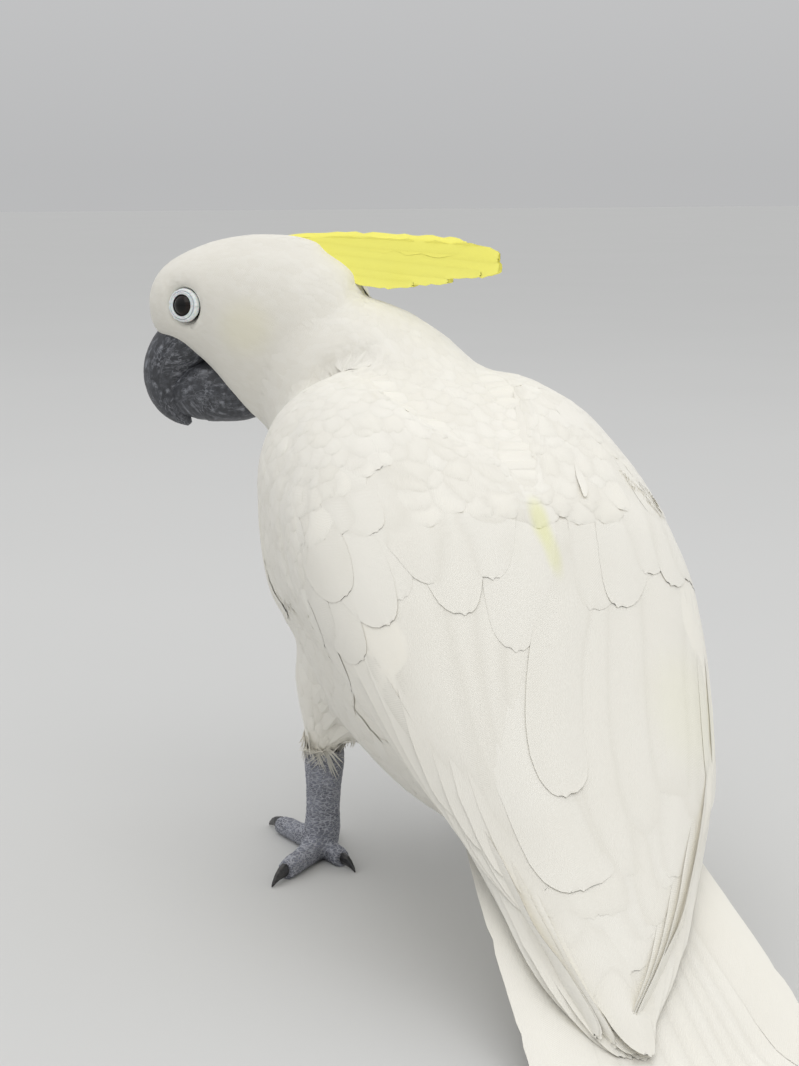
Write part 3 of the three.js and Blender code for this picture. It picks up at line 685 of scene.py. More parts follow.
class Lie:
    """Which way the plumage lies, and how large its feathers are."""

    reach: float = 15.0  # millimetres over which a guide is felt
    sharpness: float = 1.6  # how fast farther guides give way to the nearest
    spacing: float = 4.0  # millimetres between a guide's samples
    batch: int = 4096  # places read at a time

    def __init__(self) -> None:
        """Lays samples along every guide."""
        places, ways, sizes, groups = [], [], [], []
        self.groups = sorted({guide.group for guide in GUIDES})
        for guide in GUIDES:
            for line in guide.lines():
                count = int(np.linalg.norm(np.diff(line, axis=0), axis=1).sum() / self.spacing)
                t = np.linspace(0, 1, count)
                places.append(curve(line, t))
                ways.append(unit(np.gradient(places[-1], axis=0)))
                sizes.append(np.stack([lerp(*pair, t) for pair in guide.sizes], 1))
                groups.append(np.full(count, self.groups.index(guide.group)))
        self.places, self.ways, self.sizes = (np.vstack(rows) for rows in (places, ways, sizes))
        self.group = np.concatenate(groups)

    def at(self, points: Array, normals: Array) -> tuple[Array, Array, Array]:
        """Reads the lie at places on the body.

        Returns:
            Directions along the surface; lengths, widths and depths; and the
            number of the strongest group.
        """
        ways, sizes = np.zeros_like(points), np.zeros_like(points)
        group = np.zeros(len(points), int)
        for start in range(0, len(points), self.batch):
            part = slice(start, start + self.batch)
            away = np.linalg.norm(points[part, None] - self.places[None], axis=2)
            further = (away - away.min(1, keepdims=True)) / self.reach
            weight = np.exp(-((further * self.sharpness) ** 2) - further)
            ways[part] = weight @ self.ways
            sizes[part] = weight @ self.sizes / weight.sum(1, keepdims=True)
            shares = [weight[:, self.group == k].sum(1) for k in range(len(self.groups))]
            group[part] = np.stack(shares, 1).argmax(1)
        ways -= normals * (ways * normals).sum(1, keepdims=True)
        return unit(ways), sizes, group


@dataclass
class Skin:
    """One smooth skin under the plumage, in place of the body's solids."""

    voxel: float = 1.9  # millimetres
    soften: int = 14
    wing_end: float = 208.0  # the wing is only feathers past this y
    end_drop: float = 1.6  # how far the skin sinks under the feathers there
    tint: float = 0.6
    nodes: tuple[str, ...] = (
        "trunk", "neck", "head", "forecrest", "wing_left", "wing_right", "thigh_left", "thigh_right",
    )

    def build(self, frame: dict, lie: Lie, finish: Finish) -> tuple[Piece, Surface]:
        """Makes the skin's piece, and the surface that the plumage grows on."""
        body = remeshed(gathered(self.nodes, frame, self.wing_end), self.voxel, self.soften)
        depth = lie.at(body.vertices, body.normals)[1][:, 2:3]
        inner = soften_points(body.vertices - body.normals * depth, body.triangles, 4)
        for fold in FOLDS:
            inner = inner - body.normals * fold.pressed(inner)[:, None]
        shown = inner.copy()
        shown[:, 2] -= self.end_drop * smoothstep(inner[:, 1], self.wing_end - 20, self.wing_end - 8)
        shape = body.shape(shown)
        shape.vane = np.tile([0.0, 0.0, self.tint], (len(inner), 1))
        return make_object("skin", shape, finish), Surface(inner, body.triangles)


# ---------------------------------------------------------------- small feathers


class Form(Enum):
    """The outlines of small feathers."""

    SCALE = "rounded, for the face and crown"
    CONTOUR = "broad and rounded, for the body and wings"
    DOWN = "loose, parted into barbs"


@dataclass(frozen=True)
class Template:
    """One small feather, a unit long and wide, root at the origin along +Y.

    Its marks are shares along it and across it, and how thick it is there.
    """

    form: Form
    rows: int = 6
    columns: int = 4
    ragged: float = 0.02

    def outline(self, t: Array) -> Array:
        """Half width at shares of the length."""
        waist = 0.16 + 0.34 * smoothstep(t, 0.0, 0.5)
        tip = np.sqrt(np.clip(1 - np.clip((t - 0.55) / 0.45, 0, 1) ** 2.2, 0.0, 1))
        return waist * np.maximum(tip, 0.16)

    def vane(self, seed: int) -> tuple[Array, Faces, Array, list[bool]]:
        """A lens of a vane: its points, faces, marks, and which faces are smooth."""
        rng = np.random.default_rng(seed)
        t = 1 - (1 - np.linspace(0, 1, self.rows + 1)) ** 1.9
        s = np.linspace(-1, 1, self.columns + 1)
        half = self.outline(t) * rng.uniform(1 - self.ragged, 1 + self.ragged, len(t))
        x = s[None, :] * half[:, None]
        y = np.repeat(t[:, None], len(s), 1)
        y[-1] -= rng.uniform(0, self.ragged * 0.5, len(s)) + 0.02 * s**2
        across = np.repeat(s[None, :], len(t), 0)
        points = np.stack([x, y, np.zeros_like(x)], -1).reshape(-1, 3)
        marks = np.stack([np.clip(y, 0, 1), across, 1 - across**2], -1).reshape(-1, 3)
        wide = self.columns + 1
        starts = [i * wide for i in range(self.rows)]
        faces = [(a, a + 1, a + wide + 1, a + wide) for i in starts for a in range(i, i + self.columns)]
        upper = len(faces)
        faces += [(i + self.columns, i, i + wide, i + wide + self.columns) for i in starts]
        end = self.rows * wide
        faces += [tuple(range(end, end + wide)), tuple(range(wide - 1, -1, -1))]
        return points, faces, marks, [k < upper for k in range(len(faces))]

    def down(self, seed: int) -> tuple[Array, Faces, Array, list[bool]]:
        """A loose tuft of slim barbs: its points, faces, marks, and smooth faces."""
        rng = np.random.default_rng(seed)
        points, faces, marks = [], [], []
        for spread in np.linspace(-1, 1, 7):
            lean = spread + rng.uniform(-0.12, 0.12)
            reach = 1 - 0.25 * abs(spread) - rng.uniform(0, 0.2)
            first = len(points)
            for t, half in ((0.0, 0.05), (0.45, 0.05), (0.8, 0.03)):
                middle = lean * 0.5 * t**0.8
                for side in (-1, 0, 1):
                    points.append((middle + side * half, t * reach, 0.0))
                    marks.append((t * reach, lean * t, 1.0 - abs(side)))
            points.append((lean * 0.52, reach, 0.0))
            marks.append((reach, lean, 0.0))
            for a in (first, first + 3):
                faces += [(a, a + 1, a + 4, a + 3), (a + 1, a + 2, a + 5, a + 4), (a + 2, a, a + 3, a + 5)]
            a = first + 6
            faces += [(a, a + 1, a + 3), (a + 1, a + 2, a + 3), (a + 2, a, a + 3)]
            faces.append((first + 2, first + 1, first))
        return np.array(points), faces, np.array(marks), [False] * len(faces)

    def build(self, name: str, seed: int) -> Piece:
        """The feather as a helper object, with its marks kept as an attribute."""
        make = self.down if self.form is Form.DOWN else self.vane
        points, faces, marks, smooth = make(seed)
        mesh = bpy.data.meshes.new(name)
        mesh.from_pydata(points.tolist(), [], faces)
        mesh.polygons.foreach_set("use_smooth", smooth)
        store(mesh, "mark", marks)
        return bpy.data.objects.new(name, mesh)


class CoatTree(Nodes):
    """Geometry Nodes that set a feather on every point and lay it on the skin."""

    sockets = {
        "Roots": "Geometry", "Feather": "Object", "Skin": "Object", "Camber": "Float", "Tuck": "Float",
        "Thickness": "Float", "Hold": "Float", "Evenness": "Float", "Patch": "Float", "Finish": "Material",
    }
    tuck_power: float = 9.0  # how near the tip it bends down
    facing: float = 0.02  # faces turned further from the skin's normal keep their own

    def __init__(self) -> None:
        """Builds the tree and keeps its inputs' identifiers."""
        super().__init__(bpy.data.node_groups.new("feather_coat", "GeometryNodeTree"))
        face = self.tree.interface
        self.ids = {
            name: face.new_socket(name, in_out="INPUT", socket_type="NodeSocket" + kind).identifier
            for name, kind in self.sockets.items()
        }
        face.new_socket("Coat", in_out="OUTPUT", socket_type="NodeSocketGeometry")
        self.source = self.tree.nodes.new("NodeGroupInput").outputs
        self.wire()

    def named(self, name: str) -> Socket:
        """A vector kept on the points under a name."""
        node = self.add("GeometryNodeInputNamedAttribute", {"Name": name}, data_type="FLOAT_VECTOR")
        return node.outputs["Attribute"]

    def kept(self, geometry: Socket, name: str, value: Socket, kind: str = "FLOAT_VECTOR",
             domain: str = "POINT") -> Socket:
        """The geometry with a value stored on it under a name."""
        inputs = {"Geometry": geometry, "Name": name, "Value": value}
        return self.add("GeometryNodeStoreNamedAttribute", inputs, data_type=kind, domain=domain).outputs[0]

    def wire(self) -> None:
        """Joins the nodes from the roots to the finished coat."""
        source = self.source
        feather, skin = (
            self.add("GeometryNodeObjectInfo", {"Object": source[name]}).outputs["Geometry"]
            for name in ("Feather", "Skin")
        )
        turn = self.add(
            "FunctionNodeAxesToRotation",
            {"Primary Axis": self.named("upright"), "Secondary Axis": self.named("lie")},
            primary_axis="Z", secondary_axis="Y",
        ).outputs[0]
        placed = self.add("GeometryNodeInstanceOnPoints", {
            "Points": source["Roots"], "Instance": feather, "Rotation": turn, "Scale": self.named("size"),
        }).outputs[0]
        real = self.add("GeometryNodeRealizeInstances", {0: placed}).outputs[0]
        along, across, thickness = self.parts(self.named("mark"))
        root, climb, _ = self.parts(self.named("stand"))
        width, length, _ = self.parts(self.named("size"))
        crown = self.times(self.minus(1.0, self.times(across, across)), self.times(width, source["Camber"]))
        tucked = self.times(self.math("POWER", along, self.tuck_power), source["Tuck"])
        slope = self.times(climb, self.minus(along, tucked))
        thick = self.times(thickness, source["Thickness"])
        height = self.plus(self.plus(root, slope), self.plus(crown, thick))
        place = self.add("GeometryNodeInputPosition").outputs[0]
        nearest = self.add("GeometryNodeProximity", {
            "Geometry": skin, "Sample Position": place,
        }, target_element="FACES").outputs["Position"]
        sample = self.add("GeometryNodeSampleNearestSurface", {
            "Mesh": skin, "Value": self.named("upright"), "Sample Position": place,
        }, data_type="FLOAT_VECTOR").outputs["Value"]
        away = self.vector("NORMALIZE", sample)
        hugging = self.vector("ADD", nearest, self.vector("SCALE", away, height))
        standing = self.vector("ADD", place, self.vector("SCALE", self.named("upright"), height))
        moved = self.add("GeometryNodeSetPosition", {
            "Geometry": self.kept(real, "away", away),
            "Position": self.blend(standing, hugging, source["Hold"]),
        }).outputs[0]
        spin, reach, tint = self.parts(self.named("patch"))
        vane = self.packed(self.times(across, width, 500.0), self.times(along, length, 1000.0), tint)
        measured = self.kept(self.evened(moved), "vane", vane)
        local = self.packed(
            self.times(across, self.times(source["Patch"], 0.5)),
            self.times(self.minus(along, 0.5), source["Patch"]),
        )
        spot = self.vector("ADD", self.packed(spin, reach), local)
        mapped = self.kept(measured, "OFBake", spot, "FLOAT2", "CORNER")
        dressed = self.add("GeometryNodeSetMaterial", {"Geometry": mapped, "Material": source["Finish"]})
        self.add("NodeGroupOutput", {0: dressed.outputs[0]})

    def blend(self, first: Socket, second: Socket, share: Socket) -> Socket:
        """A vector some share of the way from the first to the second."""
        return self.vector("ADD", self.vector("SCALE", second, share),
                           self.vector("SCALE", first, self.minus(1.0, share)))

    def evened(self, coat: Socket) -> Socket:
        """Turns the shading of the feathers' outer faces towards the skin's own."""
        own = self.add("GeometryNodeInputNormal").outputs["Normal"]
        soft = self.named("away")
        outer = self.math("GREATER_THAN", self.vector("DOT_PRODUCT", own, soft), self.facing)
        normal = self.vector("NORMALIZE", self.blend(own, soft, self.times(outer, self.source["Evenness"])))
        inputs = {"Mesh": coat, "Custom Normal": normal}
        return self.add("GeometryNodeSetMeshNormal", inputs, mode="FREE", domain="CORNER").outputs[0]

    def grow(self, name: str, roots: Piece, values: dict) -> Piece:
        """Runs the tree on root points, removes them, and keeps the result as a plain mesh."""
        modifier = roots.modifiers.new("coat", "NODES")
        modifier.node_group = self.tree
        for key, value in values.items():
            modifier[self.ids[key]] = value
        graph = bpy.context.evaluated_depsgraph_get()
        mesh = bpy.data.meshes.new_from_object(roots.evaluated_get(graph), depsgraph=graph)
        mesh.name = name
        for spare in ("mark", "stand", "size", "lie", "upright", "patch", "away"):
            if spare in mesh.attributes:
                mesh.attributes.remove(mesh.attributes[spare])
        bpy.data.objects.remove(roots)
        return linked(name, mesh)


@dataclass
class CoatPiece:
    """The small feathers of one region."""

    name: str
    group: str
    form: Form = Form.CONTOUR
    crowding: float = 0.32  # spacing as a share of a feather's mean size
    camber: float = 0.028
    tuck: float = 0.55  # how far tips bend down again, as a share of their height
    thickness: float = 0.06
    sink: float = 0.2  # how far a root lies under the skin
    ruffle: float = 4.0  # degrees
    scale: float = 1.0
    rows: int = 6
    columns: int = 4
    side: int = 0  # keeps only one side of the body
    until: float = 400.0  # grows only in front of this y
    hold: float = 1.0  # how closely it follows the skin
    rise: float = 0.0  # slope at which it stands off the skin
    evenness: float = 0.35  # how far its shading follows the skin's
    spot: Place | None = None  # grows only round this place
    spread: float = 9.0  # how far round it


DOWNY = {"form": Form.DOWN, "sink": 0.4, "hold": 0.0, "thickness": 0.12, "evenness": 0.9}
COAT_PIECES = (
    CoatPiece("head_coat", "head", Form.SCALE, crowding=0.36, camber=0.008, tuck=0.8, thickness=0.015,
              sink=0.02, rows=4, columns=2, evenness=0.3),
    CoatPiece("neck_coat", "neck", camber=0.018, thickness=0.04, sink=0.12),
    CoatPiece("breast_coat", "breast", thickness=0.08),
    CoatPiece("back_coat", "back", crowding=0.30, until=66.0),
    CoatPiece("wing_coat_left", "wing", side=1, ruffle=3.0, until=34.0),
    CoatPiece("wing_coat_right", "wing", side=-1, ruffle=3.0, until=34.0),
    CoatPiece("thigh_coat", "thigh", crowding=0.28, thickness=0.08),
    CoatPiece("thigh_down", "thigh", crowding=0.24, ruffle=14.0, rise=0.10, **DOWNY),
    CoatPiece("shoulder_down", "wing", crowding=0.26, ruffle=22.0, scale=0.5, rise=0.5, side=-1,
              spot=(-61.0, 60.0, 161.0), **DOWNY),
    CoatPiece("bend_down", "wing", crowding=0.2, ruffle=20.0, scale=0.45, rise=0.12, side=1,
              spot=(68.0, 6.0, 112.0), **DOWNY),
)


class Coat:
    """Sows roots over the skin and grows every region's feathers from them."""

    patch: float = 0.003  # a feather's size on the baking map
    each: float = 1.1  # square millimetres of skin for each candidate root
    edge: float = 4.0  # unevenness of a region's rear edge
    body_length: float = 400.0
    spine = ((88, -132, 220), (49, -100, 212), (17, -73, 188), (0, -30, 160), (0, 42, 120), (0, 97, 95),
             (0, 160, 45))

    def __init__(self, skin: Surface, piece: Piece, lie: Lie, finish: Finish) -> None:
        """Scatters candidates evenly over the skin and reads the lie at each."""
        self.lie, self.finish = lie, finish
        self.tree = CoatTree()
        self.ground = linked("ground", piece.data.copy())
        store(self.ground.data, "upright", skin.normals)
        rng = np.random.default_rng(SEED)
        count = int(skin.area.sum() / self.each)
        chosen = skin.triangles[rng.choice(len(skin.area), count, p=skin.area / skin.area.sum())]
        a, b = np.sqrt(rng.random(count)), rng.random(count)
        share = np.stack([1 - a, a * (1 - b), a * b], 1)[:, :, None]
        self.points = (skin.vertices[chosen] * share).sum(1)
        self.normals = unit((skin.normals[chosen] * share).sum(1))
        self.ways, self.sizes, self.group = lie.at(self.points, self.normals)

    def thin(self, index: Array, radius: Array) -> Array:
        """Keeps candidates that stand clear of those already kept."""
        cell = float(radius.max())
        grid: dict[tuple[int, int, int], list[int]] = {}
        kept: list[int] = []
        cells = np.floor(self.points[index] / cell).astype(int)
        around = [(i, j, k) for i in (-1, 0, 1) for j in (-1, 0, 1) for k in (-1, 0, 1)]
        for n, (x, y, z) in enumerate(cells.tolist()):
            near = [other for i, j, k in around for other in grid.get((x + i, y + j, z + k), ())]
            gap = self.points[near] - self.points[index[n]]
            if ((gap * gap).sum(1) >= radius[n] ** 2).all():
                grid.setdefault((x, y, z), []).append(int(index[n]))
                kept.append(int(index[n]))
        return np.array(kept, int)

    def unwrapped(self, points: Array) -> Array:
        """Places on a map wrapped round the body's length, from 0 to 1."""
        path = curve(self.spine, np.linspace(0, 1, 240))
        near = np.array([np.argmin(((path - p) ** 2).sum(1)) for p in points])
        way = unit(np.gradient(path, axis=0))[near]
        side = unit(np.cross(way, np.tile([0.0, 0.0, 1.0], (len(points), 1))))
        up = np.cross(side, way)
        away = points - path[near]
        angle = np.arctan2((away * side).sum(1), (away * up).sum(1)) / (2 * math.pi) + 0.5
        along = (near / len(path)) + (away * way).sum(1) / self.body_length
        return np.clip(np.stack([0.01 + 0.98 * angle, 0.05 + 0.9 * along], 1), 0.004, 0.996)

    def grow(self, spec: CoatPiece, bare: list[tuple[Array, float]]) -> Piece:
        """Grows one region's feathers, none of them near a bare place than its distance."""
        rng = np.random.default_rng(SEED + sum(map(ord, spec.name)))
        mask = self.group == self.lie.groups.index(spec.group)
        if spec.side:
            mask &= self.points[:, 0] * spec.side >= 0
        mask &= self.points[:, 1] < spec.until + rng.normal(0, self.edge, len(self.points))
        if spec.spot:
            mask &= np.linalg.norm(self.points - spec.spot, axis=1) < spec.spread
        for place, distance in bare:
            mask &= np.linalg.norm(self.points - place, axis=1) > distance
        index = rng.permutation(np.flatnonzero(mask))
        size = self.sizes[index] * spec.scale
        index = self.thin(index, spec.crowding * np.sqrt(size[:, 0] * size[:, 1]))
        count = len(index)
        length, width, depth = (self.sizes[index] * (spec.scale, spec.scale, 1)).T
        points, normals, ways = self.points[index], self.normals[index], self.ways[index]
        stray = np.radians(rng.normal(0, spec.ruffle, count))[:, None]
        ways = ways * np.cos(stray) + np.cross(normals, ways) * np.sin(stray)
        grown = rng.uniform(0.88, 1.14, count)
        climb = depth * rng.uniform(0.96, 1.04, count) + spec.sink
        tint = rng.uniform(0.35, 1.0, count)
        mesh = bpy.data.meshes.new(spec.name + "_roots")
        mesh.from_pydata(to_row(points).tolist(), [], [])
        for key, value in {
            "upright": normals,
            "lie": unit(ways + normals * spec.rise),
            "size": np.stack([width * grown, length * grown, np.full(count, 1.0)], 1) * MM,
            "stand": np.stack([np.full(count, -spec.sink) * MM, climb * MM, np.zeros(count)], 1),
            "patch": np.column_stack([self.unwrapped(points), tint]),
        }.items():
            store(mesh, key, value)
        feather = Template(spec.form, spec.rows, spec.columns).build("feather", SEED)
        piece = self.tree.grow(spec.name, linked(spec.name + "_roots", mesh), {
            "Feather": feather, "Skin": self.ground, "Camber": spec.camber, "Tuck": spec.tuck,
            "Hold": spec.hold, "Evenness": spec.evenness, "Thickness": spec.thickness * MM,
            "Patch": self.patch, "Finish": self.finish,
        })
        bpy.data.objects.remove(feather)
        LOG.info("%s: %d feathers", spec.name, count)
        return piece

    def close(self) -> None:
        """Removes the helper that the feathers were laid on."""
        bpy.data.objects.remove(self.ground)


# ---------------------------------------------------------------- long feathers


class Tip(Enum):
    """How a long feather ends."""

    ROUND = 0.30
    BLUNT = 0.14
    SLIM = 0.55


@dataclass(frozen=True)
class Vane:
    """One long feather: a shaft with a thin vane on each side of it."""

    path: Array  # points along the shaft, root first
    upright: Array  # the outer face's direction at each point
    width: float
    tip: Tip = Tip.ROUND
    root_share: float = 0.45  # width at the root, as a share of the widest
    uneven: float = 0.5  # the outer vane's share of the width
    camber: float = 0.05
    thickness: float = 0.28
    shaft: float = 0.06  # how far the shaft stands over the vane
    tuck: float = 0.0  # how far the tip bends down
    evenness: float = 0.0  # how far its shading follows the surface's
    rows: int = 26
    columns: int = 8
    ragged: float = 0.008
    splits: int = 0  # gaps in the vane's edge
    kink: float = 0.85  # a sharper turn of the surface than this is passed over
    give: float = 2.5  # how far the shaft moves to lie on the surface

    def build(self, surface: Surface | None, heights: Span, tint: float, seed: int) -> Shape:
        """A closed thin blade with its vane coordinates.

        Args:
            surface: What the feather lies on, or None where it stands free.
            heights: How high its root and its tip lie over that surface.
            tint: How light it is, from 0 to 1.
            seed: For its small unevenness.
        """
        rng = np.random.default_rng(seed)
        t = 1 - (1 - np.linspace(0, 1, self.rows + 1)) ** 1.5
        centre = curve(self.path, t)
        upright = unit(curve(self.upright, t))
        if surface is not None:
            place, normal = surface.nearest(centre)
            for i in range(1, len(normal)):
                if normal[i] @ normal[i - 1] < self.kink:
                    normal[i] = normal[i - 1]
            upright = unit(evened(normal, 4))
            fall = ((place - centre) * upright).sum(1, keepdims=True)
            centre = evened(centre + upright * np.clip(fall, -self.give, self.give), 3)
        along = unit(np.gradient(centre, axis=0))
        across = unit(np.cross(along, upright))
        upright = unit(np.cross(across, along))
        length = float(np.linalg.norm(np.diff(centre, axis=0), axis=1).sum())
        share = self.tip.value
        body = self.root_share + (1 - self.root_share) * smoothstep(t, 0.0, 0.45)
        end = np.sqrt(np.clip(1 - np.clip((t - (1 - share)) / share, 0, 1) ** 2.4, 0, 1))
        half = self.width * body * np.maximum(end, 0.12)
        s = np.linspace(-1, 1, self.columns + 1)
        reach = np.where(s < 0, s * (1 - self.uneven), s * self.uneven)
        rough = 1 + rng.normal(0, self.ragged, (len(t), len(s))) * (np.abs(s) > 0.99)
        for _ in range(self.splits):
            row = int(rng.uniform(0.35, 0.95) * self.rows)
            column = 0 if rng.random() < self.uneven else self.columns
            rough[row, column] *= rng.uniform(0.86, 0.95)
        x = reach[None, :] * half[:, None] * rough
        hug = np.zeros_like(x)
        for sign in (-1, 1) if surface is not None else ():
            fall = self.hugged(surface, centre, across * sign, upright)
            hug = np.where(np.sign(x) == sign, fall[:, None], hug)
        lag = rng.uniform(0, 1.2 * self.ragged * self.width, len(s)) + 0.10 * self.width * s**2
        slip = np.zeros((len(t), len(s)))
        slip[-1] = lag
        drop = self.camber * self.width * (x / (self.width * 0.5)) ** 2
        lift = lerp(heights[0], heights[1], t)[:, None] - drop + hug * x**2
        lift = lift - self.tuck * t[:, None] ** 12
        top = centre[:, None] + across[:, None] * x[..., None] - along[:, None] * slip[..., None]
        top = top + upright[:, None] * lift[..., None]
        normal = unit(upright[:, None] - across[:, None] * (2 * hug * x)[..., None])
        ridge = self.shaft * np.exp(-((s / 0.2) ** 2))[None, :] * (1 - 0.7 * t[:, None])
        thick = self.thickness * (1 - 0.45 * np.abs(s))[None, :] * np.ones((len(t), 1))
        low = top - normal * thick[..., None]
        top = top + normal * ridge[..., None]
        vane = np.stack([x, np.repeat((t * length)[:, None], len(s), 1), np.full_like(x, tint)], -1)
        shape = plated(top, low, vane)
        true = unit(np.cross(np.gradient(top, axis=0), np.gradient(top, axis=1)))
        true = true * np.sign((true * normal).sum(-1, keepdims=True))
        shading = unit(lerp(true, normal, self.evenness)).reshape(-1, 3)
        shape.normals = np.vstack([shading, -shading])
        return shape

    def hugged(self, surface: Surface, centre: Array, across: Array, upright: Array) -> Array:
        """How fast the surface falls away across the shaft, over the square of the distance."""
        reach = 0.42 * self.width
        place, _ = surface.nearest(centre + across * reach)
        fall = ((place - centre) * upright).sum(1) / reach**2
        return evened(np.clip(fall, -0.9 / reach, 0.04 / reach), 6)


def plated(top: Array, low: Array, vane: Array) -> Shape:
    """A closed blade between an upper and a lower grid of points."""
    rows, wide = top.shape[:2]
    count = rows * wide
    faces: Faces = []
    for i in range(rows - 1):
        for j in range(wide - 1):
            a = i * wide + j
            faces.append((a, a + wide, a + wide + 1, a + 1))
            faces.append((count + a, count + a + 1, count + a + wide + 1, count + a + wide))
    smooth = len(faces)
    rim = [(j, j + 1) for j in range(wide - 1)]
    rim += [(i * wide + wide - 1, (i + 1) * wide + wide - 1) for i in range(rows - 1)]
    rim += [((rows - 1) * wide + j, (rows - 1) * wide + j - 1) for j in range(wide - 1, 0, -1)]
    rim += [(i * wide, (i - 1) * wide) for i in range(rows - 1, 0, -1)]
    faces += [(a, b, count + b, count + a) for a, b in rim]
    points = np.vstack([top.reshape(-1, 3), low.reshape(-1, 3)])
    both = np.vstack([vane.reshape(-1, 3)] * 2)
    u = np.repeat(np.linspace(0.02, 0.48, wide)[None, :], rows, 0)
    v = np.repeat(np.linspace(0.01, 0.99, rows)[:, None], wide, 1)
    uv = np.vstack([np.stack([u, v], -1).reshape(-1, 2), np.stack([u + 0.5, v], -1).reshape(-1, 2)])
    return outward(Shape(points, faces, both, uv, np.arange(len(faces)) >= smooth))


def long_piece(name: str, feathers: list[Shape], finish: Finish) -> Piece:
    """Feathers as one piece, each with its own strip of the baking map."""
    width = 1.0 / len(feathers)
    for k, shape in enumerate(feathers):
        shape.uv = np.column_stack([(k + shape.uv[:, 0]) * width, shape.uv[:, 1]])
    LOG.info("%s: %d feathers", name, len(feathers))
    return make_object(name, joined(feathers), finish)


@dataclass(frozen=True)
class WingLines:
    """Where the folded wing's surface runs, by share along and across it."""

    # crease y and z; side x, y and z; lower edge x, y and z
    rows: tuple[tuple[float, ...], ...] = (
        (-54, 187, 45, -60, 168, 45, -61, 152),
        (-40, 196, 61, -42, 160, 58, -40, 122),
        (-12, 199.5, 71, -14, 155, 62, -14, 106),
        (24, 194.5, 74, 24, 146, 60, 24, 108),
        (60, 180, 74, 60, 134, 56, 60, 97),
        (92, 163, 71, 92, 114, 50, 90, 82),
        (119, 128, 62, 120, 92, 45, 118, 71),
        (147, 90, 50, 147, 67, 41, 147, 59),
        (173, 57, 34, 173, 43, 32, 174, 39),
        (196, 34, 23.5, 197, 30, 22.5, 198, 28),
        (216, 16, 5, 217, 14, 4, 218, 12),
    )

    def crease(self, y: float) -> float:
        """Where the two wings meet."""
        return float(34 * smoothstep(y, 84, 152) - 8 * smoothstep(y, 50, 90) - 12 * smoothstep(y, 142, 190))

    def drift(self, y: float) -> float:
        """How far the wing tips stray to the left."""
        return 22.0 * min(max((y - 147) / 69, 0.0), 1.0) ** 1.3

    def at(self, side: int, u: float, v: float) -> Array:
        """A point of one wing.

        Args:
            side: 1 for the left wing, -1 for the right.
            u: Share along it, from the bend to the tip.
            v: Share across it, from the crease over the side to its lower
                edge; below 0 it runs on over the other wing.
        """
        iy, iz, sx, sy, sz, lx, ly, lz = curve(self.rows, u)[0]
        x0 = side * 27.0 * (1 - float(smoothstep(iy, 20, 92))) + self.crease(iy)
        x1, x2 = side * sx + self.drift(sy), side * lx + self.drift(ly)
        if v < 0:
            return self.at(-side, u, -v)
        if v <= 2 / 3:
            angle = math.pi / 2 * v * 1.5
            s, c = math.sin(angle), math.cos(angle)
            return np.array([x0 + (x1 - x0) * s, sy + (iy - sy) * c, sz + (iz - sz) * c])
        angle = math.pi / 2 * (v * 3 - 2)
        s, c = math.sin(angle), math.cos(angle)
        return np.array([x2 + (x1 - x2) * c, sy + (ly - sy) * s, sz + (lz - sz) * s])


@dataclass(frozen=True)
class FeatherRow:
    """A row of long feathers on a wing, from its inner to its outer one.

    Roots and tips are shares along and across the wing; widths and heights
    are millimetres.
    """

    count: int
    roots: tuple[Span, Span]
    tips: tuple[Span, Span]
    widths: Span
    height: Span  # of the root and of the tip over the outline
    stack: float = 0.12  # how much lower each next feather lies
    stray: float = 0.0  # unevenness of the tips' places
    tip: Tip = Tip.ROUND


FEATHER_ROWS = (
    # primaries
    FeatherRow(9, ((0.50, 0.05), (0.48, 0.64)), ((1.0, 0.05), (0.965, 0.70)), (18, 15),
               (-1.4, -0.1), 0.02, 0.0, Tip.SLIM),
    # secondaries
    FeatherRow(9, ((0.34, 0.10), (0.26, 0.62)), ((0.93, 0.06), (0.68, 0.68)), (27, 20),
               (-1.2, 0.2), 0.03, 0.01),
    # tertials
    FeatherRow(4, ((0.34, 0.05), (0.32, 0.26)), ((0.86, 0.05), (0.74, 0.36)), (30, 26),
               (-0.9, 0.5), 0.05, 0.0, Tip.BLUNT),
    # great coverts
    FeatherRow(11, ((0.26, 0.04), (0.16, 0.78)), ((0.60, 0.04), (0.47, 0.86)), (27, 20),
               (-1.0, 0.4), 0.02, 0.022),
    # median coverts
    FeatherRow(12, ((0.24, 0.04), (0.15, 0.80)), ((0.50, 0.05), (0.38, 0.88)), (24, 17),
               (-1.0, 0.45), 0.02, 0.024),
    # front coverts
    FeatherRow(12, ((0.20, 0.08), (0.10, 0.82)), ((0.42, 0.08), (0.30, 0.90)), (20, 14),
               (-1.0, 0.45), 0.02, 0.026),
)


@dataclass(frozen=True)
class SingleFeather:
    """One feather that lies out of its row."""

    side: int
    root: Span
    end: Span
    width: float
    height: Span
    tip: Tip = Tip.ROUND
    ragged: float = 0.008


SINGLE_FEATHERS = (
    # crossing
    SingleFeather(-1, (0.46, 0.08), (0.83, -0.06), 33, (-1.2, 1.0), Tip.BLUNT),
    # squared
    SingleFeather(-1, (0.42, 0.06), (0.745, 0.05), 21, (-1.0, 1.3), Tip.BLUNT),
    # loose
    SingleFeather(-1, (0.44, 0.12), (0.495, 0.10), 3.4, (0.2, 1.6), Tip.SLIM),
    # closing
    SingleFeather(1, (0.62, 0.0), (1.0, 0.0), 22, (-1.5, 0.3), Tip.SLIM),
    # closing left
    SingleFeather(1, (0.60, 0.12), (0.995, 0.08), 20, (-1.5, 0.6)),
    # inner lobe
    SingleFeather(1, (0.12, 0.40), (0.30, 0.88), 16, (-1.2, 0.5), Tip.SLIM, 0.05),
    # outer lobe
    SingleFeather(1, (0.06, 0.50), (0.245, 0.97), 24, (-1.0, 1.1), Tip.SLIM, 0.05),
)


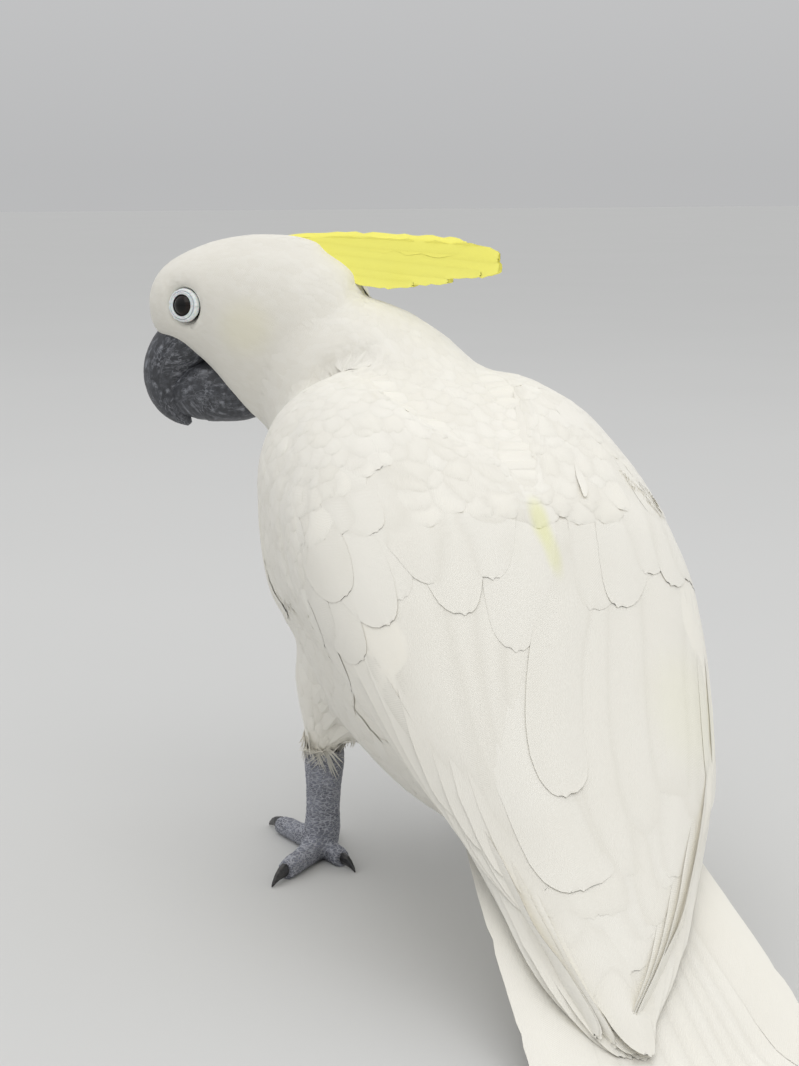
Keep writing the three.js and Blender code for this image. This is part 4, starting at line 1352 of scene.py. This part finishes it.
@dataclass
class Wings:
    """The long feathers of both folded wings."""

    overrun: float = 9.0  # how far the longest tips pass the wing's end
    lines: WingLines = field(default_factory=WingLines)

    def feather(self, side: int, one: SingleFeather, outline: Surface, seed: int) -> Shape:
        """One feather between two places on a wing."""
        rng = np.random.default_rng(seed)
        share = np.linspace(0, 1, 9)
        u = lerp(one.root[0], one.end[0], share)
        v = lerp(one.root[1], one.end[1], smoothstep(share, -0.3, 1.3))
        path = np.array([self.lines.at(side, float(a), float(b)) for a, b in zip(u, v)])
        onward = unit(path[-1] - path[-3]) * self.overrun * float(smoothstep(one.end[0], 0.9, 1.0))
        path = path + onward * np.linspace(0, 1, 9)[:, None] ** 3
        _, upright = outline.nearest(path)
        vane = Vane(path, upright, one.width, one.tip, uneven=0.62 if side > 0 else 0.38, camber=0.02,
                    tuck=0.46, thickness=0.2, evenness=0.6, ragged=one.ragged)
        return vane.build(outline, one.height, float(rng.uniform(0.55, 1.0)), seed)

    def build(self, outline: Surface, finish: Finish) -> list[Piece]:
        """Makes both wings' long feathers, one piece a wing."""
        made = []
        for side, name in SIDES:
            feathers = []
            for number, row in enumerate(FEATHER_ROWS):
                roots, tips = np.array(row.roots), np.array(row.tips)
                for k in range(row.count):
                    t = k / (row.count - 1)
                    seed = SEED + 1000 * number + 10 * k + side
                    loose = np.random.default_rng(seed).normal(0, row.stray, 3)
                    tip = lerp(*tips, t) + loose[:2] * (1.0, 0.5)
                    drop = row.stack * k - 5 * loose[2]
                    height = (row.height[0] - drop, row.height[1] - drop)
                    one = SingleFeather(side, lerp(*roots, t), tip, lerp(*row.widths, t), height, row.tip)
                    feathers.append(self.feather(side, one, outline, seed))
            for k, one in enumerate(SINGLE_FEATHERS):
                if one.side == side:
                    feathers.append(self.feather(side, one, outline, SEED + 90 + k))
            made.append(long_piece(f"flight_feathers_{name}", feathers, finish))
        return made


@dataclass
class TailFan:
    """Twelve tail feathers spread on the floor."""

    base: Place = (1.0, 97.0, 77.0)
    slope: float = 29.0  # degrees
    length: float = 163.0
    half_base: float = 31.0
    half_tip: float = 58.0
    count: int = 12
    width: float = 21.5
    step: float = 0.62  # height between neighbours

    def shaft(self, v: float) -> Array:
        """Points along one feather's shaft, v from -1 to 1 across the fan."""
        t = np.linspace(0, 1, 10)
        reach = (self.length - 6.5 * v * v) * t
        slope = math.radians(self.slope)
        x = self.base[0] + v * lerp(self.half_base, self.half_tip - self.width * 0.42, t)
        y = self.base[1] + reach * math.cos(slope)
        z = self.base[2] - reach * math.sin(slope) - self.step * abs(v) * 6 * (1 - 0.6 * t)
        return np.stack([x, y, np.maximum(z, 1.1)], 1)

    def build(self, finish: Finish) -> Piece:
        """Makes the fan; the middle pair lies on top."""
        feathers = []
        for k in range(self.count):
            v = 2 * (k + 0.5) / self.count - 1
            path = self.shaft(v)
            upright = np.tile(unit(np.array([0.22 * v, 0.48, 0.87])), (len(path), 1))
            vane = Vane(path, upright, self.width, Tip.BLUNT, root_share=0.6,
                        uneven=0.5 - 0.14 * np.sign(v), camber=0.05, thickness=0.4, rows=30, splits=3)
            shape = vane.build(None, (0.0, 0.0), 0.6 + 0.4 * ((k * 7) % 5) / 5, SEED + 300 + k)
            z = shape.vertices[:, 2]
            shape.vertices[:, 2] = np.maximum(z, 0.05 + 0.2 * (z > 0.4))  # clear of the floor
            feathers.append(shape)
        return long_piece("tail_feathers", feathers, finish)


@dataclass
class CrestFan:
    """The yellow feathers folded back over the nape."""

    # root x and z, tip x and z, width, distance from the middle, upward bow
    rows: tuple[tuple[float, ...], ...] = (
        (-8, 37, -98, 33.5, 9.5, 0.0, 4.6),
        (-10, 36, -112, 29.5, 9.5, 1.6, 4.0),
        (-10, 35, -112.5, 25.0, 9.0, 2.6, 3.6),
        (-12, 33, -105, 22.5, 8.5, 3.4, 2.2),
        (-14, 31, -91, 19.5, 8.0, 4.0, 1.0),
        (-16, 29, -76, 18.0, 7.5, 4.4, 0.4),
    )

    def build(self, finish: Finish) -> Piece:
        """Makes the crest, its feathers set on edge in pairs."""
        feathers = []
        for number, (x0, z0, x1, z1, width, apart, bow) in enumerate(self.rows):
            for side in (1, -1) if apart else (1,):
                t = np.linspace(0, 1, 9)
                arch = bow * 4 * t * (1 - t) * 0.5 + 2.2 * t**4
                out = np.full(9, side * apart) * lerp(0.7, 1.0, t)
                path = np.stack([lerp(x0, x1, t), out, lerp(z0, z1, t) + arch], 1)
                lean = 0.25 + 0.35 * (number == 0)
                upright = np.tile(unit(np.array([0.0, side * 1.0, lean])), (9, 1))
                form = Tip.BLUNT if number < 3 else Tip.SLIM
                vane = Vane(from_head(path), unit(from_head(upright) - HEAD_PLACE), width, form,
                            root_share=0.5, camber=0.06, thickness=0.3, evenness=0.5, rows=28, columns=6,
                            ragged=0.07, splits=9)
                seed = SEED + 700 + number * 2 + side
                feathers.append(vane.build(None, (0.0, 0.0), 0.5 + 0.08 * number, seed))
        return long_piece("crest_feathers", feathers, finish)


# ---------------------------------------------------------------- bill, eyes, legs and claws


@dataclass
class Bill:
    """The two halves of the bill, lofted along their curves."""

    # centre x, z, half height across the curve, half width
    upper: tuple[tuple[float, ...], ...] = (
        (22, 2, 12.5, 10.6), (29, -6, 12.2, 10.6), (35.4, -12.5, 11.4, 10), (39, -19.5, 10.4, 8.8),
        (39.2, -26.6, 9.3, 7.3), (36.8, -33.2, 7.6, 5.8), (32.8, -38.8, 4.8, 3.8), (28.6, -43.0, 1.3, 1.3),
    )
    lower: tuple[tuple[float, ...], ...] = (
        (-8, -26, 10, 10), (4, -29, 11.6, 10.6), (14, -28.5, 13, 10.4), (21, -28.5, 13, 9.8),
        (28, -30.5, 11, 8.2), (33.5, -33, 7.4, 5.4),
    )
    steps: int = 64
    sides: int = 48

    def half(self, profile: tuple[tuple[float, ...], ...], keel: float, ripple: float, seed: int) -> Shape:
        """One half of the bill.

        Args:
            profile: Its curve and sizes.
            keel: How sharp the middle line of its outer curve is.
            ripple: Height of its growth ridges.
            seed: For their unevenness.
        """
        rng = np.random.default_rng(seed)
        t = np.linspace(0, 1, self.steps + 1)
        x, z, height, width = curve(profile, t).T
        axis = unit(np.stack([np.gradient(x), np.zeros_like(x), np.gradient(z)], 1))
        up = np.stack([-axis[:, 2], np.zeros_like(x), axis[:, 0]], 1)
        length = np.concatenate([[0], np.cumsum(np.hypot(np.diff(x), np.diff(z)))])
        waves = sum(np.sin(length * k + rng.uniform(0, 6)) for k in (1.1, 1.9, 3.1)) / 3
        angle = np.linspace(0, 2 * math.pi, self.sides, endpoint=False)
        c, s = np.cos(angle), np.sin(angle)
        reach = 1 + keel * np.maximum(s, 0) ** 8 - 0.35 * keel * np.exp(-(((s - 0.72) / 0.16) ** 2))
        grow = ripple * waves[:, None] * (0.4 + 0.6 * np.abs(c))[None, :]
        rings = (
            np.stack([x, np.zeros_like(x), z], 1)[:, None]
            + np.array([0.0, 1.0, 0.0])[None, None] * (width[:, None] * c * reach + grow * c)[..., None]
            + up[:, None] * (height[:, None] * s * reach + grow * s)[..., None]
        )
        shape = loft(from_head(rings.reshape(-1, 3)).reshape(rings.shape))
        around = angle[None, :] * np.maximum(width, 2)[:, None]
        along = np.repeat(length[:, None], self.sides, 1)
        vane = np.stack([around, along, np.zeros_like(along)], -1).reshape(-1, 3)
        shape.vane = np.vstack([vane, [[0, 0, 0], [0, length[-1], 0]]])
        return shape

    def build(self, finish: Finish) -> tuple[Piece, Piece]:
        """Makes the upper and the lower half."""
        upper = make_object("upper_bill", self.half(self.upper, 0.05, 0.10, SEED + 1), finish)
        lower = make_object("lower_bill", self.half(self.lower, 0.0, 0.12, SEED + 2), finish)
        return upper, lower


@dataclass
class Eyes:
    """Both eyes with their rings of bare skin."""

    place: Place = (22.5, 19.8, 10.5)
    radius: float = 6.2
    sink: float = 3.9
    forward: float = 14.0
    bare: float = 6.4  # nothing grows nearer than this
    # distance along the eye's axis and from it, round the lid's section
    lid: tuple[Span, ...] = (
        (-2.2, 6.0), (-0.9, 5.1), (0.0, 4.6), (0.42, 4.5), (0.78, 4.62), (0.82, 4.85), (0.5, 5.1),
        (0.7, 5.35), (0.95, 5.65), (0.72, 5.95), (0.35, 6.1), (0.6, 6.4), (0.45, 6.8), (0.1, 7.15),
        (-0.6, 7.4), (-1.6, 7.4), (-2.4, 7.0),
    )
    sides: int = 120

    def axis(self, side: int) -> Array:
        """The way an eye looks, in the head's frame."""
        forward = math.radians(self.forward)
        return unit(np.array([math.sin(forward), side * math.cos(forward), 0.06]))

    def turned(self, side: int, along: Array, radius: Array) -> Array:
        """Rings round an eye's axis, in the bird's frame."""
        axis = self.axis(side)
        across = unit(np.cross(np.array([0.0, 0.0, 1.0]), axis))
        up = np.cross(axis, across)
        place = np.array(self.place) * (1, side, 1)
        angle = np.linspace(0, 2 * math.pi, along.shape[1], endpoint=False)
        points = (
            place
            + axis * along[..., None]
            + across * (radius * np.cos(angle))[..., None]
            + up * (radius * np.sin(angle))[..., None]
        )
        return from_head(points.reshape(-1, 3)).reshape(points.shape)

    def ball(self, side: int) -> Shape:
        """One eyeball with a slightly raised cornea."""
        turn = np.radians(np.linspace(-88, 88, 40))[:, None] * np.ones((1, 64))
        radius = self.radius * np.cos(turn)
        along = -self.sink + self.radius * np.sin(turn) + 0.25 * np.clip(1 - (radius / 4.0) ** 2, 0, 1)
        shape = loft(self.turned(side, along, radius))
        flat = np.concatenate([radius.ravel(), [0.0, 0.0]])
        shape.vane = np.stack([flat, np.zeros_like(flat), np.zeros_like(flat)], 1)
        return shape

    def ring(self, side: int) -> Shape:
        """The bare skin round one eye, wrinkled round it and across."""
        rng = np.random.default_rng(SEED + 5 + side)
        section = np.array(self.lid)
        count = len(section)
        angle = np.linspace(0, 2 * math.pi, self.sides, endpoint=False)
        pucker = sum(np.sin(angle * k + rng.uniform(0, 6)) for k in (7, 11, 17, 23)) / 4
        soft = np.clip((section[:, 1] - 4.7) / 1.6, 0, 1)[:, None]
        outer = (section[:, 0] > -1.0)[:, None]
        along = section[:, :1] + 0.22 * pucker[None, :] * soft * outer
        oval = 0.03 * np.cos(2 * angle)[None, :]
        radius = section[:, 1:] * (1 + 0.012 * pucker[None, :] * soft + oval * soft)
        points = self.turned(side, along, radius)
        shape = outward(Shape(points.reshape(-1, 3), tube(count, self.sides, closed=True)))
        spin = np.repeat((angle * 6.0)[None, :], count, 0)
        shape.vane = np.stack([radius, spin, np.zeros_like(spin)], -1).reshape(-1, 3)
        return shape

    def middle(self, side: int) -> Array:
        """The middle of an eye's ring."""
        return from_head(np.array([self.place]) * (1, side, 1))[0]

    def build(self, eye: Finish, skin: Finish) -> list[tuple[Piece, str, str]]:
        """Makes both eyes; each piece comes with its node and slot."""
        made = []
        for side, name in SIDES:
            ball = make_object(f"eyeball_{name}", self.ball(side), eye)
            lid = make_object(f"eyelid_{name}", self.ring(side), skin)
            made += [(ball, f"eye_{name}", "eye"), (lid, f"eye_ring_{name}", "eye_skin")]
        return made


@dataclass
class Feet:
    """Shanks and toes with their scutes, and the claws."""

    voxel: float = 0.6
    claw_voxel: float = 0.34
    scute: float = 2.5  # millimetres from one scute to the next
    scute_height: float = 0.32
    band: float = 3.0  # millimetres from one band of the shank to the next
    behind: float = 40.0  # keeps a toe's scutes off what lies behind its root
    toes: tuple[Span, ...] = ((-16, 24), (20, 35), (142, 31), (-158, 16))
    places: tuple[tuple[str, Span, float, int], ...] = (
        ("left", (45.0, -14.0), -8.0, 1),
        ("right", (-38.0, -8.0), 4.0, -1),
    )
    claw_names: tuple[str, ...] = ("inner_front", "outer_front", "outer_back", "inner_back")

    def scuted(self, surface: Surface, place: Span, heading: float, side: int) -> Array:
        """A foot's points with raised scutes along the top of each toe."""
        turn = math.radians(heading - 90)
        flat = surface.vertices[:, :2] - np.array(place)
        local = np.stack([
            flat[:, 0] * math.cos(turn) + flat[:, 1] * math.sin(turn),
            -flat[:, 0] * math.sin(turn) + flat[:, 1] * math.cos(turn),
        ], 1)
        best = np.full(len(local), 1e9)
        height = np.zeros(len(local))
        for angle, length in self.toes:
            way = math.radians(angle * side)
            axis = np.array([math.cos(way), math.sin(way)])
            along = local @ axis
            aside = np.abs(local @ np.array([-axis[1], axis[0]]))
            off = aside + self.behind * (along < 2.0) + np.maximum(along - length, 0)
            saw = (along / self.scute) % 1.0
            plate = np.sqrt(np.clip(1 - saw, 0, 1)) - 0.5
            nearer = off < best
            best = np.where(nearer, off, best)
            height = np.where(nearer, plate, height)
        up = np.clip(surface.normals[:, 2] * 1.6 + 0.2, 0, 1)
        z = surface.vertices[:, 2]
        high = smoothstep(z, 11.0, 15.0)
        shank = high * (np.sqrt(1 - (z / self.band) % 1.0) - 0.5)
        raised = self.scute_height * (height * up * (1 - high) + 0.7 * shank)
        moved = surface.vertices + surface.normals * raised[:, None]
        moved[:, 2] = np.maximum(moved[:, 2], 0.0)
        return moved

    def build(self, frame: dict, skin: Finish, horn: Finish) -> list[tuple[Piece, str, str]]:
        """Makes both feet and all claws; each comes with its node and slot."""
        made = []
        for name, place, heading, side in self.places:
            node = f"foot_{name}"
            surface = remeshed(gathered((node,), frame), self.voxel, 8)
            shape = surface.shape(self.scuted(surface, place, heading, side))
            made.append((make_object(f"scaly_{node}", shape, skin), node, "leg"))
            for claw in self.claw_names:
                node = f"claw_{claw}_{name}"
                fine = remeshed(gathered((node,), frame), self.claw_voxel, 5)
                points = fine.vertices
                points[:, 2] = np.maximum(points[:, 2], 0.05)
                shape = fine.shape(points)
                shape.vane = points * 0.9
                made.append((make_object(f"horn_{node}", shape, horn), node, "claw"))
        return made


# ---------------------------------------------------------------- studio


@dataclass(frozen=True)
class Lamp:
    """A soft square light."""

    name: str
    place: Place  # bird's frame
    size: float  # metres
    power: float  # watts
    colour: Colour = (1.0, 1.0, 1.0)


@dataclass
class Studio:
    """Floor, soft lights and the camera."""

    aim: Place = (0.0, 0.0, 120.0)  # where the lamps point
    camera_place: Place = (285.3, 740.0, 281.0)
    heading: float = 20.0  # degrees from straight ahead along -Y
    horizon: float = 367.0 / 2000.0  # tangent of the downward pitch
    sensor: float = 36.0
    lens: float = 2000.0 / 1066.0 * 36.0
    lamps: tuple[Lamp, ...] = (
        Lamp("key", (150.0, 800.0, 1600.0), 1.6, 8.0, (1.0, 0.985, 0.96)),
        Lamp("fill", (-1200.0, 900.0, 700.0), 1.8, 2.0, (0.95, 0.975, 1.0)),
        Lamp("front", (0.0, -900.0, 2200.0), 1.6, 5.0),
    )
    world: Colour = (0.985, 0.99, 1.0)
    horizon_light: float = 0.50
    zenith_light: float = 0.88
    floor_reach: float = 12.0  # metres

    def build(self) -> Piece:
        """Makes the studio and returns its floor."""
        self.camera()
        for lamp in self.lamps:
            light = bpy.data.lights.new(lamp.name, "AREA")
            light.energy, light.size, light.color = lamp.power, lamp.size, lamp.colour
            holder = linked(lamp.name, light)
            holder.location = Vector(to_row(lamp.place))
            aim = Vector(to_row(self.aim)) - holder.location
            holder.rotation_euler = aim.to_track_quat("-Z", "Y").to_euler()
        scene = bpy.context.scene
        scene.world = self.sky()
        scene.view_settings.view_transform = "Standard"
        return self.floor()

    def sky(self) -> bpy.types.World:
        """Soft light from all round, dimmer at the horizon to meet the floor."""
        world = bpy.data.worlds.new("soft_world")
        world.use_nodes = True
        nodes = Nodes(world.node_tree)
        up = nodes.parts(nodes.add("ShaderNodeTexCoord").outputs["Generated"])[2]
        spread = {0: up, 1: 0.0, 2: 0.7, 3: self.horizon_light, 4: self.zenith_light}
        background = nodes.tree.nodes["Background"]
        nodes.feed(background.inputs[0], (*self.world, 1.0))
        nodes.feed(background.inputs[1], nodes.add("ShaderNodeMapRange", spread).outputs[0])
        return world

    def floor(self) -> Piece:
        """A plain pale floor."""
        g = Graph("pale_floor")
        tone = g.mix(g.noise(3.0, 2.0), (0.60, 0.60, 0.59), (0.62, 0.62, 0.61))
        material = g.finish({"Base Color": tone, "Roughness": 0.9})
        mesh = bpy.data.meshes.new("floor")
        far = self.floor_reach
        corners = [(-far, -far, 0), (far, -far, 0), (far, far, 0), (-far, far, 0)]
        mesh.from_pydata(corners, [], [(0, 1, 2, 3)])
        mesh.materials.append(material)
        return linked("floor", mesh)

    def camera(self) -> None:
        """Sets the camera behind the bird's left side, looking along its body."""
        turn, pitch = math.radians(self.heading), math.atan(self.horizon)
        level = math.cos(pitch)
        ahead = Vector((-math.sin(turn) * level, -math.cos(turn) * level, -math.sin(pitch)))
        data = bpy.data.cameras.new("camera")
        data.lens = self.lens
        data.sensor_width = self.sensor
        data.clip_start, data.clip_end = 0.02, 60.0
        camera = linked("camera", data)
        camera.location = Vector(to_row(self.camera_place))
        camera.rotation_euler = ahead.to_track_quat("-Z", "Y").to_euler()
        bpy.context.scene.camera = camera


# ---------------------------------------------------------------- the whole bird

def settle(piece: Piece, slot: str, *nodes: str) -> None:
    """Lets a piece ride on the body and hides the frame's solids that it replaces."""
    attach(piece, BODY)
    if nodes:
        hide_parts(*nodes)
    LOG.info("piece %s: %d faces", piece.name, len(piece.data.polygons))


def main() -> None:
    """Builds the bird from the skin outwards, then the studio."""
    logging.basicConfig(level=logging.INFO, format="%(name)s %(message)s")
    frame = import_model()
    white = PlumageFinish("white_plumage").build()
    yellow = PlumageFinish(
        "yellow_crest", (1.0, 0.96, 0.21), (0.97, 0.90, 0.15), barb_pitch=0.8, barb_height=0.00015,
        roughness=0.7, markings=(),
    ).build()
    lie = Lie()
    skin = Skin()
    piece, surface = skin.build(frame, lie, white)
    eyes = Eyes()
    coat = Coat(surface, piece, lie, white)
    bare = [(eyes.middle(side), eyes.bare) for side, _ in SIDES]
    for spec in COAT_PIECES:
        settle(coat.grow(spec, bare), "plumage")
    coat.close()
    settle(piece, "plumage", *skin.nodes)
    for feathers in Wings().build(surface.raised(0.7, 14), white):
        settle(feathers, "plumage")
    settle(TailFan().build(white), "plumage", "tail")
    settle(CrestFan().build(yellow), "crest", "crest")
    upper, lower = Bill().build(HornFinish("bill_horn").build())
    settle(upper, "bill", "bill_upper")
    settle(lower, "bill", "bill_lower")
    for made, node, slot in eyes.build(eye_finish(), lid_finish()):
        settle(made, slot, node)
    claw = HornFinish("claw_horn", (0.012, 0.012, 0.013), (0.16, 0.15, 0.14), 0.35, 0.3).build()
    for made, node, slot in Feet().build(frame, scaly_finish(), claw):
        settle(made, slot, node)
    Studio().build()


if __name__ == "__main__":
    main()
